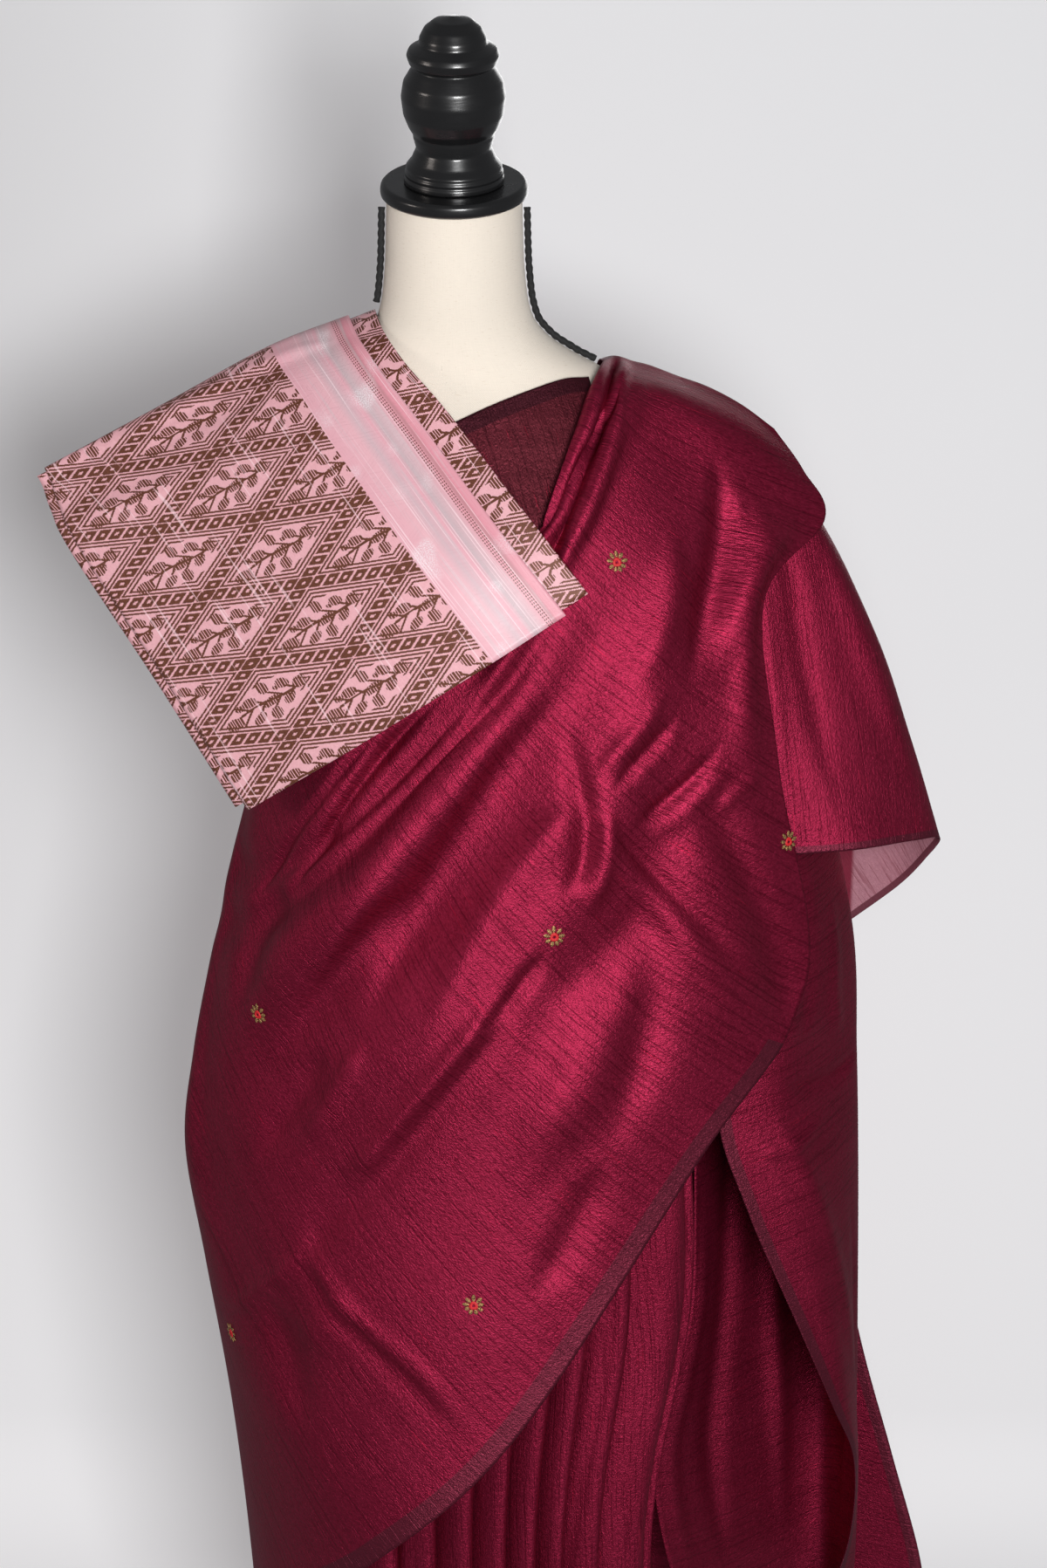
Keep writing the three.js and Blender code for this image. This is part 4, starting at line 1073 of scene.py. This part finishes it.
def brocade_material(threads, lattice, settings, band):
    """Pink silk brocade: the zari lattice, pale slubs, and on the outer fold a striped band at its edge."""
    material, tree, shader = new_material("pink brocade" if band else "pink brocade under", Sheen_Weight=0.2,
                                          Sheen_Roughness=0.4, Sheen_Tint=(1, 0.75, 0.78, 1))
    uv, edge = uv_of(tree), edge_of(tree)
    turn = (0, 0, math.radians(settings.lattice_turn))
    chart = parts_of(tree, node(tree, "ShaderNodeMapping", {"Vector": uv, "Rotation": turn}).outputs[0])
    zari = use_group(tree, lattice, X=chart[1], Y=chart[0])["Zari"]
    silk = use_group(tree, threads, Vector=uv)
    pale = ramp(tree, noise(tree, uv, (10, 330, 1), 1), 0.655, 0.7)
    ground = blend(tree, silk["Tone"], settings.pink_dark, settings.pink_light)
    ground = blend(tree, times(tree, pale, 0.75), ground, (0.86, 0.6, 0.64))
    # painted glints on the zari: fine specks of a lighter colour
    glint = noise(tree, uv, (1500, 1500, 1), 1)
    thread = blend(tree, ramp(tree, glint, 0.45, 0.75), settings.zari_dark, settings.zari_painted_glint)
    mask = times(tree, zari, one_less(tree, times(tree, pale, 0.6)))
    height = calc(tree, "ADD", times(tree, mask, 0.5), times(tree, silk["Height"], 0.6))
    if band:
        inside = calc(tree, "LESS_THAN", edge, settings.band_width)
        ground = blend(tree, inside, ground, band_color(tree, uv, edge, settings))
        mask = times(tree, mask, one_less(tree, inside))
        height = times(tree, height, calc(tree, "MULTIPLY_ADD", inside, -0.6, 1.0))
        feed(tree, shader, Roughness=calc(tree, "MULTIPLY_ADD", inside, -0.2, 0.62))
    feed(tree, shader, Base_Color=blend(tree, mask, ground, thread), Metallic=times(tree, mask, 0.25))
    bump(tree, shader, height, 0.0005, 0.8)
    return material


class SareeSettings(bpy.types.PropertyGroup):
    """Sizes and colours of the saree, its blouse piece and the form."""

    wall: FloatProperty(name="Cloth Wall", description="Thickness of the saree's cloth", default=0.0008,
                        min=0.0004, max=0.002, unit="LENGTH")
    fineness: FloatProperty(name="Fineness", description="Share of the full count of rows and columns",
                            default=1.0, min=0.3, max=1.2)
    silk_dark: FloatVectorProperty(name="Silk Dark", description="Dark tone of the shot silk",
                                   subtype="COLOR", default=(0.15, 0.004, 0.02), min=0, max=1)
    silk_light: FloatVectorProperty(name="Silk Light", description="Light tone of the shot silk",
                                    subtype="COLOR", default=(0.36, 0.02, 0.064), min=0, max=1)
    selvage: FloatVectorProperty(name="Selvage", description="Colour of the border at the selvages",
                                 subtype="COLOR", default=(0.15, 0.022, 0.042), min=0, max=1)
    pink_dark: FloatVectorProperty(name="Pink Shade", description="Darker tone of the brocade's ground",
                                   subtype="COLOR", default=(0.62, 0.27, 0.31), min=0, max=1)
    pink_light: FloatVectorProperty(name="Pink Light", description="Lighter tone of the brocade's ground",
                                    subtype="COLOR", default=(0.86, 0.5, 0.54), min=0, max=1)
    zari_dark: FloatVectorProperty(name="Zari Shade", description="Dark of the brocade's zari",
                                   subtype="COLOR", default=(0.1, 0.025, 0.012), min=0, max=1)
    # colour of the painted glints, laid in specks over the zari's dark
    zari_painted_glint: FloatVectorProperty(name="Zari Glint", description="Glints of the brocade's zari",
                                    subtype="COLOR", default=(0.26, 0.09, 0.035), min=0, max=1)
    band_width: FloatProperty(name="Band Width", description="Striped band at the blouse piece's edge",
                              default=0.068, min=0.02, max=0.12, unit="LENGTH")
    lattice_turn: FloatProperty(name="Lattice Turn", description="Degrees that the lattice is turned",
                                default=0.0, min=-30, max=30)
    linen: FloatVectorProperty(name="Linen", description="Colour of the form's linen", subtype="COLOR",
                               default=(0.88, 0.79, 0.68), min=0, max=1)
    light_power: FloatProperty(name="Light Power", description="Share of the studio lights' power",
                               default=1.0, min=0.1, max=4)


def settings():
    return bpy.context.scene.saree


def steps(count, low, high):
    """Even places from low to high, as many as the fineness gives."""
    return np.linspace(low, high, max(int(count * settings().fineness), 4) + 1)


def shared(name, make):
    """The datablock of that name, made once."""
    found = bpy.data.node_groups.get(name) or bpy.data.materials.get(name)
    return found or make()


def silk_threads():
    return shared("raw silk threads", raw_silk_group)


def saree_silk():
    s = settings()
    return shared("crimson raw silk", lambda: silk_material("crimson raw silk", silk_threads(), s.silk_dark,
                                                            s.silk_light, s.selvage))


def turned_profile(profile, softness, spacing):
    """Points at even steps along a profile, each the mean of its near neighbours, so that corners are round:
    weights are exp(-(distance / softness)^2)."""
    profile = np.asarray(profile, float)
    along = np.concatenate([[0], np.cumsum(np.hypot(*np.diff(profile, axis=0).T))])
    places = np.linspace(0, along[-1], int(along[-1] / spacing) + 1)
    points = np.stack([np.interp(places, along, profile[:, k]) for k in (0, 1)], -1)
    near = np.exp(-(((places[:, None] - places[None]) / softness) ** 2))
    soft = near @ points / near.sum(1, keepdims=True)
    soft[[0, -1]] = points[[0, -1]]
    return soft


def turned_piece(name, profile, lift=0.0, tilt=0.0, sides=72, softness=0.9, spacing=1.0):
    """A profile of [radius, height] turned about +Z, leaned to the viewer by tilt degrees, and lifted."""
    points = turned_profile(profile, softness, spacing)
    a = np.arange(sides) * 2 * np.pi / sides
    x, y = points[:, :1] * np.sin(a), -points[:, :1] * np.cos(a)
    z = points[:, 1:] + 0 * a
    lean = math.radians(tilt)
    across, up = y * math.cos(lean) - z * math.sin(lean), y * math.sin(lean) + z * math.cos(lean) + lift
    over = np.stack(np.broadcast_arrays(a * 0.04, points[:, 1:] / 1000), -1)
    faces = grid_faces(len(points), sides, True)
    piece = new_mesh(name, np.stack([x, across, up], -1), faces, face_corners(over, faces))
    close_mesh(piece)
    return piece


LINEN_THREADS = 1100.0  # in a metre


def linen_material():
    s = settings()
    material, tree, shader = new_material("cream linen", s.linen, Roughness=0.85, Sheen_Weight=0.15)
    uv = uv_of(tree)
    weave = use_group(tree, shared("plain weave", plain_weave_group), Vector=uv, Threads=LINEN_THREADS)
    fleck = ramp(tree, noise(tree, uv, (140, 900, 1), 1), 0.66, 0.74)
    color = blend(tree, weave["Tone"], tuple(c * 0.86 for c in s.linen), s.linen)
    color = blend(tree, times(tree, fleck, 0.35), color, (0.62, 0.5, 0.38))
    feed(tree, shader, Base_Color=color)
    bump(tree, shader, weave["Height"], 0.0004, 0.6)
    return material


def lacquer_material():
    material, tree, shader = new_material("black lacquered wood", (0.007, 0.007, 0.0075), Coat_Weight=0.35,
                                          Coat_Roughness=0.12)
    place = place_of(tree)
    worn = noise(tree, place, (60, 60, 220), 4)
    feed(tree, shader, Roughness=calc(tree, "MULTIPLY_ADD", worn, 0.18, 0.2))
    bump(tree, shader, noise(tree, place, (90, 90, 500), 3), 0.0003, 0.25)
    return material


def steel_material():
    material, tree, shader = new_material("black enamelled steel", (0.012, 0.012, 0.013))
    peel = noise(tree, place_of(tree), (700, 700, 700), 2)
    feed(tree, shader, Roughness=calc(tree, "MULTIPLY_ADD", peel, 0.15, 0.32))
    bump(tree, shader, peel, 0.0002, 0.3)
    return material


def cord_material():
    material, tree, shader = new_material("black twisted cord", Roughness=0.75, Sheen_Weight=0.05)
    fibre = noise(tree, uv_of(tree), (900, 5000, 1), 2)
    feed(tree, shader, Base_Color=blend(tree, fibre, (0.002, 0.002, 0.002), (0.012, 0.012, 0.013)))
    bump(tree, shader, fibre, 0.0003, 0.6)
    return material


class SAREE_OT_form(bpy.types.Operator):
    """Builds the linen torso, its turned neck plate and knob, and the seam cords at the neck."""

    bl_idname = "saree.form"
    bl_label = "Dress Form"

    def execute(self, context):
        z = np.concatenate([[FORM_BOTTOM], steps(150, FORM_BOTTOM + 0.5, FORM_TOP - 0.5), [FORM_TOP]])
        a = steps(120, 0, 2 * np.pi)[:-1]
        points = torso_surface(*np.meshgrid(z, a, indexing="ij"))
        flat = points[[0, -1]].mean(1, keepdims=True) + 0 * points[[0, -1]]
        points = np.concatenate([flat[:1], points, flat[1:]])
        u = np.broadcast_to(np.append(a, 2 * np.pi) * 0.13, (len(points), len(a) + 1))
        v = np.broadcast_to(points[:, :1, 2] / 1000, u.shape)
        uv = face_corners(np.stack([u, v], -1), grid_faces(len(points), len(a) + 1))
        torso = new_mesh("linen_torso", points, grid_faces(len(points), len(a), True), uv)
        close_mesh(torso)
        finish_piece(torso, linen_material(), "linen", "form_torso")
        lacquer = lacquer_material()
        lift = FORM_TOP + SEAM_GAP / math.cos(math.radians(CAP_TILT))
        for name, profile in (("neck_cap_plate", PLATE), ("finial_knob", FINIAL)):
            piece = turned_piece("turned_" + name, profile, lift, CAP_TILT)
            finish_piece(piece, lacquer, "black_wood", name)
        cord = cord_material()
        for name, (side, top, bottom) in CORDS.items():
            finish_piece(self.cord(name, side, top, bottom), cord, "black_cord", name)
        return {"FINISHED"}

    def cord(self, name, side, top, bottom):
        """Two plies twisted together: the radius is CORD_RADIUS (0.8 + 0.25 |cos(angle - 2 pi length /
        CORD_TURN)|), round a middle line that runs down the torso's side, just clear of it."""
        z = steps(520, top, bottom)
        a = np.full_like(z, side * np.pi / 2)
        out = normals(torso_surface, z, a, 0.01)
        out *= np.sign(out[:, :1]) * side
        line = torso_surface(z, a) + out * (CORD_RADIUS + SEAM_GAP + 0.6)
        run = unit(np.gradient(line, axis=0))
        out = unit(out - run * np.sum(out * run, -1, keepdims=True))
        beside = np.cross(run, out)
        length = np.concatenate([[0], np.cumsum(np.linalg.norm(np.diff(line, axis=0), axis=1))])
        turn = np.arange(CORD_SIDES) * 2 * np.pi / CORD_SIDES
        ply = length[:, None] * 2 * np.pi / CORD_TURN
        lobes = CORD_RADIUS * (0.8 + 0.25 * np.abs(np.cos(turn[None] - ply)))
        lobes[[0, -1]] *= 0.02
        ring = line[:, None] + lobes[..., None] * (np.cos(turn)[None, :, None] * out[:, None]
                                                   + np.sin(turn)[None, :, None] * beside[:, None])
        uv = np.stack(np.broadcast_arrays(turn[None] * 0.001, length[:, None] / 1000), -1)
        faces = grid_faces(len(z), CORD_SIDES, True)
        piece = new_mesh("twisted_" + name, ring, faces, face_corners(uv, faces))
        close_mesh(piece)
        return piece


class SAREE_OT_stand(bpy.types.Operator):
    """Builds the stand's pole and round foot."""

    bl_idname = "saree.stand"
    bl_label = "Stand"

    def execute(self, context):
        steel = steel_material()
        foot = turned_piece("round_foot", FOOT, softness=1.2, spacing=2.5)
        finish_piece(foot, steel, "black_steel", "stand_base")
        low, high = FOOT_TOP + SEAM_GAP, FORM_BOTTOM - SEAM_GAP
        tube = [[0, low], [POLE_RADIUS - 1, low], [POLE_RADIUS, low + 1], [POLE_RADIUS, high - 1],
                [POLE_RADIUS - 1, high], [0, high]]
        pole = turned_piece("steel_pole", tube, sides=40, softness=1.0, spacing=8.0)
        finish_piece(pole, steel, "black_steel", "stand_pole")
        return {"FINISHED"}


class SAREE_OT_skirt(bpy.types.Operator):
    """Builds the wrapped skirt and the gathered pleats in front of it."""

    bl_idname = "saree.skirt"
    bl_label = "Skirt And Pleats"

    def execute(self, context):
        wall = settings().wall * 1000
        skirt = cloth_piece("silk_skirt", creased(skirt_surface, "saree_skirt"),
                            steps(80, SKIRT_TOP, HEM_HEIGHT), steps(220, 0, 2 * np.pi)[:-1], wall,
                            [["last row", BORDER, 0, 2 * np.pi]], around=True)
        finish_piece(skirt, saree_silk(), "maroon_silk", "saree_skirt")
        pleats = cloth_piece("silk_front_pleats", creased(pleat_surface, "saree_front_pleats"),
                             steps(100, PLEATS_TOP, HEM_HEIGHT), steps(260, 0, len(PLEAT_FOLDS)), wall,
                             [["last row", BORDER, 0, len(PLEAT_FOLDS)]])
        finish_piece(pleats, saree_silk(), "maroon_silk", "saree_front_pleats")
        return {"FINISHED"}


class SAREE_OT_panel(bpy.types.Operator):
    """Builds the panel that crosses the chest, and the stretch that goes on round the back."""

    bl_idname = "saree.panel"
    bl_label = "Front Panel And Back Wrap"

    def execute(self, context):
        wall = settings().wall * 1000
        last = len(PANEL) - 1
        panel = cloth_piece("silk_front_panel", creased(panel_surface, "saree_front_panel"),
                            steps(200, 0, last), steps(242, 0, PANEL_SIDE_SEAM), wall,
                            [["last row", BORDER, ARM_FOLD_END, PANEL_END]], wrapped=True)
        finish_piece(panel, saree_silk(), "maroon_silk", "saree_front_panel")
        behind = cloth_piece("silk_back_wrap", creased(panel_surface, "saree_back_wrap"), steps(120, 0, last),
                             steps(70, PANEL_SIDE_SEAM + SEAM_STEP, PANEL_END), wall,
                             [["last row", BORDER, 0, PANEL_END]], wrapped=True)
        finish_piece(behind, saree_silk(), "maroon_silk", "saree_back_wrap")
        sheer = silk_material("sheer silk edge", silk_threads(), (0.075, 0.009, 0.016), (0.19, 0.03, 0.045),
                              (0.06, 0.012, 0.02), 1.3)
        neck = cloth_piece("sheer_neck_layer", neck_surface, steps(70, 0, 3), steps(90, 0, 4), wall,
                           [["first row", SHEER_BORDER, 0, 4]])
        finish_piece(neck, sheer, "sheer_silk", "saree_neck_layer")
        return {"FINISHED"}


class SAREE_OT_hanging(bpy.types.Operator):
    """Builds the shoulder cape, the side margin below it and the loose end down the back."""

    bl_idname = "saree.hanging"
    bl_label = "Cape, Side And Loose End"

    def execute(self, context):
        wall = settings().wall * 1000
        for name, node_name, net, counts, selvages, turned, flat in HANGING:
            s, t = steps(counts[0], 0, len(net) - 1), steps(counts[1], 0, len(net[0]) - 1)
            piece = cloth_piece(name, creased(net_surface(net), node_name), s, t, wall, selvages, turned)
            finish_piece(piece, saree_silk(), "maroon_silk", node_name)
            if node_name == "saree_shoulder_cape":
                piece.data.materials.append(shared("lit inside of the cape", lit_silk_material))
                piece.data.polygons.foreach_set("material_index", np.ones(len(piece.data.polygons), np.int32))
                piece.modifiers["wall"].material_offset = -1
        return {"FINISHED"}


class SAREE_OT_blouse_piece(bpy.types.Operator):
    """Builds the folded blouse piece: its outer fold, and the fold beneath it."""

    bl_idname = "saree.blouse_piece"
    bl_label = "Blouse Piece"

    def execute(self, context):
        lattice = lattice_group()
        edge = [["first column", BORDER, 0, 8]]
        surface = creased(blouse_surface, "blouse_piece_top")
        top = cloth_piece("brocade_outer_fold", surface, steps(150, 0, 8), steps(110, 0, 3), BROCADE_WALL,
                          edge)
        brocade = brocade_material(silk_threads(), lattice, settings(), True)
        finish_piece(top, brocade, "pink_brocade", "blouse_piece_top")
        under = cloth_piece("brocade_under_fold", under_surface, steps(120, *BLOUSE_UNDER["rows"]),
                            steps(100, *BLOUSE_UNDER["points"]), BROCADE_WALL, edge)
        brocade = brocade_material(silk_threads(), lattice, settings(), False)
        finish_piece(under, brocade, "pink_brocade", "blouse_piece_under")
        return {"FINISHED"}


def butti_surfaces():
    """The creased surface of each node that buttis lie on."""
    surfaces = {node_name: net_surface(net) for _, node_name, net, *_ in HANGING}
    surfaces.update(saree_front_panel=panel_surface, saree_back_wrap=panel_surface, saree_skirt=skirt_surface)
    return {node_name: creased(surface, node_name) for node_name, surface in surfaces.items()}


def laid_on(surface, outward, place, shapes):
    """Points of small shapes laid on a surface: their x and y in mm are stepped out from a place along the
    surface's own tangents, with y upwards, and their height is taken off it along its normals."""
    s, t = (np.array([[float(v)]]) for v in place)
    step = 0.01
    ds = ((surface(s + step, t) - surface(s - step, t)) / (2 * step))[0, 0]
    dt = ((surface(s, t + step) - surface(s, t - step)) / (2 * step))[0, 0]
    out = unit(np.cross(dt, ds)) * outward
    beside = unit(np.cross([0, 0, 1.0], out))
    shares = np.linalg.pinv(np.stack([ds, dt], 1)) @ np.stack([beside, np.cross(out, beside)], 1)
    moved = np.asarray(place) + shapes[..., :2] @ shares.T
    s, t = moved[..., 0], moved[..., 1]
    return surface(s, t) + outward * normals(surface, s, t) * (BUTTI_LIFT + shapes[..., 2:])


def petal_shape(turn, length):
    """A teardrop from its root to its round tip, widest at two thirds, with a crowned middle: [x, y, height]
    rows. The length is a share of the flower's radius; with u along it, its half width goes as
    sin(pi u^0.8)^0.7 (0.35 + 0.65 u)."""
    u, v = np.meshgrid(np.linspace(0, 1, 7), np.linspace(-1, 1, 5), indexing="ij")
    half = BUTTI_RADIUS * PETAL_HALF_WIDTH * np.sin(np.pi * u ** 0.8) ** 0.7 * (0.35 + 0.65 * u)
    x, y = v * half, BUTTI_RADIUS * (PETAL_ROOT + u * length)
    height = ZARI_HEIGHT * (1 - v * v) * half / (BUTTI_RADIUS * PETAL_HALF_WIDTH)
    cos, sin = math.cos(turn), math.sin(turn)
    return np.stack([x * cos - y * sin, x * sin + y * cos, height], -1)


def ring_shape():
    """The ring at a flower's centre: a round bead of thread, a little three-sided, that bulges by
    RING_HEIGHT sin(pi (r - 0.1) / 0.3)."""
    r, a = np.meshgrid(np.linspace(*RING, 5), np.linspace(0, 2 * np.pi, 25)[:-1], indexing="ij")
    bulge = RING_HEIGHT * np.sin(np.pi * (r - 0.1) / 0.3)
    r = BUTTI_RADIUS * r * (1 + 0.08 * np.cos(3 * a))
    return np.stack([r * np.sin(a), r * np.cos(a), bulge], -1)


def zari_material():
    material, tree, shader = new_material("gold zari thread", Metallic=0.6, Roughness=0.42)
    thread = noise(tree, place_of(tree), (1500, 1500, 1500), 2)
    color = blend(tree, ramp(tree, thread, 0.38, 0.62), (0.07, 0.035, 0.015), (0.62, 0.36, 0.14))
    feed(tree, shader, Base_Color=color)
    bump(tree, shader, thread, 0.0006, 1.0)
    return material


def red_thread_material():
    material, tree, shader = new_material("red silk thread", Roughness=0.5)
    thread = noise(tree, place_of(tree), (1300, 1300, 1300), 2)
    feed(tree, shader, Base_Color=blend(tree, thread, (0.3, 0.003, 0.008), (0.9, 0.02, 0.03)))
    bump(tree, shader, thread, 0.0005, 1.0)
    return material


class SAREE_OT_buttis(bpy.types.Operator):
    """Weaves the small round flowers into the silk: gold zari petals round a red ring."""

    bl_idname = "saree.buttis"
    bl_label = "Buttis"

    def execute(self, context):
        surfaces = butti_surfaces()
        petals, rings = [], []
        for node_name, places in BUTTIS.items():
            surface, outward = surfaces[node_name], way_out(node_name)
            for number, place in enumerate(places):
                k = np.arange(PETALS)
                turns = 2 * np.pi * (k + 0.1 * np.sin(5 * k + number)) / PETALS
                lengths = 0.58 + 0.09 * np.cos(turns) + 0.04 * np.sin(3 * k + number)
                shapes = np.stack([petal_shape(turn, length) for turn, length in zip(turns, lengths)])
                petals.append(laid_on(surface, outward, place, shapes))
                rings.append(laid_on(surface, outward, place, ring_shape()[None]))
        for name, parts, around, material in (("butti_petals", petals, False, zari_material()),
                                              ("butti_centres", rings, True, red_thread_material())):
            shapes = np.concatenate(parts)
            count, rows, columns = shapes.shape[:3]
            faces = grid_faces(rows, columns, around) + np.arange(count)[:, None, None] * rows * columns
            piece = new_mesh(name, shapes, faces.reshape(-1, 4))
            shell = piece.modifiers.new("thread", "SOLIDIFY")
            shell.thickness = 0.0004
            shell.offset = 0
            finish_piece(piece, material, "maroon_silk")
        return {"FINISHED"}


def add_light(name, place, aim, power, size, color=(1.0, 1.0, 1.0)):
    """A square lamp at a place, turned to face its aim; metres and watts."""
    data = bpy.data.lights.new(name, "AREA")
    data.energy = power * settings().light_power
    data.size = size
    data.color = color
    lamp = bpy.data.objects.new(name, data)
    bpy.context.scene.collection.objects.link(lamp)
    lamp.location = place
    way = np.subtract(aim, place)
    lamp.rotation_euler = (math.atan2(math.hypot(way[0], way[1]), -way[2]), 0, math.atan2(-way[0], way[1]))


def paper_material():
    """Pale paper with a painted glow (emission, no lamp), stronger towards the floor, and painted shade
    towards the upper left. It is solid only to the eye and from its front, so that it hides and shades
    nothing."""
    material, tree, shader = new_material("pale paper", (0.66, 0.66, 0.672), Roughness=0.9,
                                          Emission_Strength=1.0)
    place = parts_of(tree, place_of(tree))
    upper = ramp(tree, place[2], 0.0, 1.7)
    # mask of the painted shade towards the left
    left = one_less(tree, ramp(tree, place[0], -0.65, -0.05))
    # painted glow: brighter emission near the floor, dimmer higher up
    color = blend(tree, upper, (0.29, 0.285, 0.288), (0.15, 0.15, 0.154))
    # painted shade at the upper left of the wall
    color = blend(tree, times(tree, left, upper), color, (0.035, 0.034, 0.034))
    seen = node(tree, "ShaderNodeLightPath").outputs["Is Camera Ray"]
    behind = node(tree, "ShaderNodeNewGeometry").outputs["Backfacing"]
    feed(tree, shader, Emission_Color=color, Alpha=times(tree, seen, one_less(tree, behind)))
    return material


class SAREE_OT_stage(bpy.types.Operator):
    """Sets up the pale floor and wall, the studio lights and the camera."""

    bl_idname = "saree.stage"
    bl_label = "Stage"

    def execute(self, context):
        scene = context.scene
        turn = np.linspace(0, math.pi / 2, 12)
        start = WALL_PLACE - CORNER_RADIUS
        corner = np.stack([start + CORNER_RADIUS * np.sin(turn), CORNER_RADIUS * (1 - np.cos(turn))], -1)
        sweep = np.concatenate([[[-FLOOR_REACH, 0]], corner, [[WALL_PLACE, WALL_TOP]]])
        behind = np.array([[start, 0], [FLOOR_REACH, 0]])
        x = np.linspace(-FLOOR_HALF_WIDTH, FLOOR_HALF_WIDTH, 15)
        paper = paper_material()
        for name, profile in (("floor_and_wall", sweep), ("floor_behind", behind)):
            points = np.stack(np.broadcast_arrays(x[None], profile[:, :1], profile[:, 1:]), -1)
            piece = new_mesh(name, points, grid_faces(len(profile), len(x)))
            piece.data.materials.append(paper)
        world = bpy.data.worlds.new("studio air")
        scene.world = world
        world.use_nodes = True
        air = world.node_tree.nodes["Background"].inputs
        air["Color"].default_value = (0.95, 0.96, 1.0, 1)
        seen = node(world.node_tree, "ShaderNodeLightPath").outputs["Is Camera Ray"]
        world.node_tree.links.new(calc(world.node_tree, "MULTIPLY_ADD", seen, 0.5, 0.17), air["Strength"])
        add_light("key", (0.52, -2.93, 1.7), (0, 0, 0.95), 88, 0.85)
        add_light("side fill", (-2.6, -1.2, 1.9), (0, 0, 1.0), 12, 0.8, (1.0, 0.9, 0.84))
        add_light("back fill", (0.7, 2.9, 1.4), (0, 0, 0.9), 20, 1.8)
        camera = bpy.data.objects.new("camera", bpy.data.cameras.new("camera"))
        scene.collection.objects.link(camera)
        camera.location = CAMERA_PLACE
        camera.rotation_euler = (math.radians(90 - CAMERA_DOWN), 0, 0)
        camera.data.lens = CAMERA_LENS
        camera.data.sensor_width = 36
        camera.data.clip_start = 0.1
        camera.data.clip_end = 60
        scene.camera = camera
        scene.view_settings.view_transform = "Standard"
        return {"FINISHED"}


class SAREE_PT_panel(bpy.types.Panel):
    """Lists the settings and one button for each operator."""

    bl_label = "Saree"
    bl_idname = "SAREE_PT_panel"
    bl_space_type = "VIEW_3D"
    bl_region_type = "UI"
    bl_category = "Saree"

    def draw(self, context):
        for key in SareeSettings.__annotations__:
            self.layout.prop(context.scene.saree, key)
        for operator in OPERATORS:
            self.layout.operator(operator.bl_idname)


OPERATORS = (SAREE_OT_form, SAREE_OT_stand, SAREE_OT_skirt, SAREE_OT_panel, SAREE_OT_hanging,
             SAREE_OT_blouse_piece, SAREE_OT_buttis, SAREE_OT_stage)
CLASSES = (SareeSettings, *OPERATORS, SAREE_PT_panel)


def register():
    for made in CLASSES:
        bpy.utils.register_class(made)
    bpy.types.Scene.saree = PointerProperty(type=SareeSettings)


def unregister():
    del bpy.types.Scene.saree
    for made in reversed(CLASSES):
        bpy.utils.unregister_class(made)


def main():
    register()
    bpy.ops.saree.form()
    bpy.ops.saree.stand()
    bpy.ops.saree.skirt()
    bpy.ops.saree.panel()
    bpy.ops.saree.hanging()
    bpy.ops.saree.blouse_piece()
    bpy.ops.saree.buttis()
    bpy.ops.saree.stage()


if __name__ == "__main__":
    main()
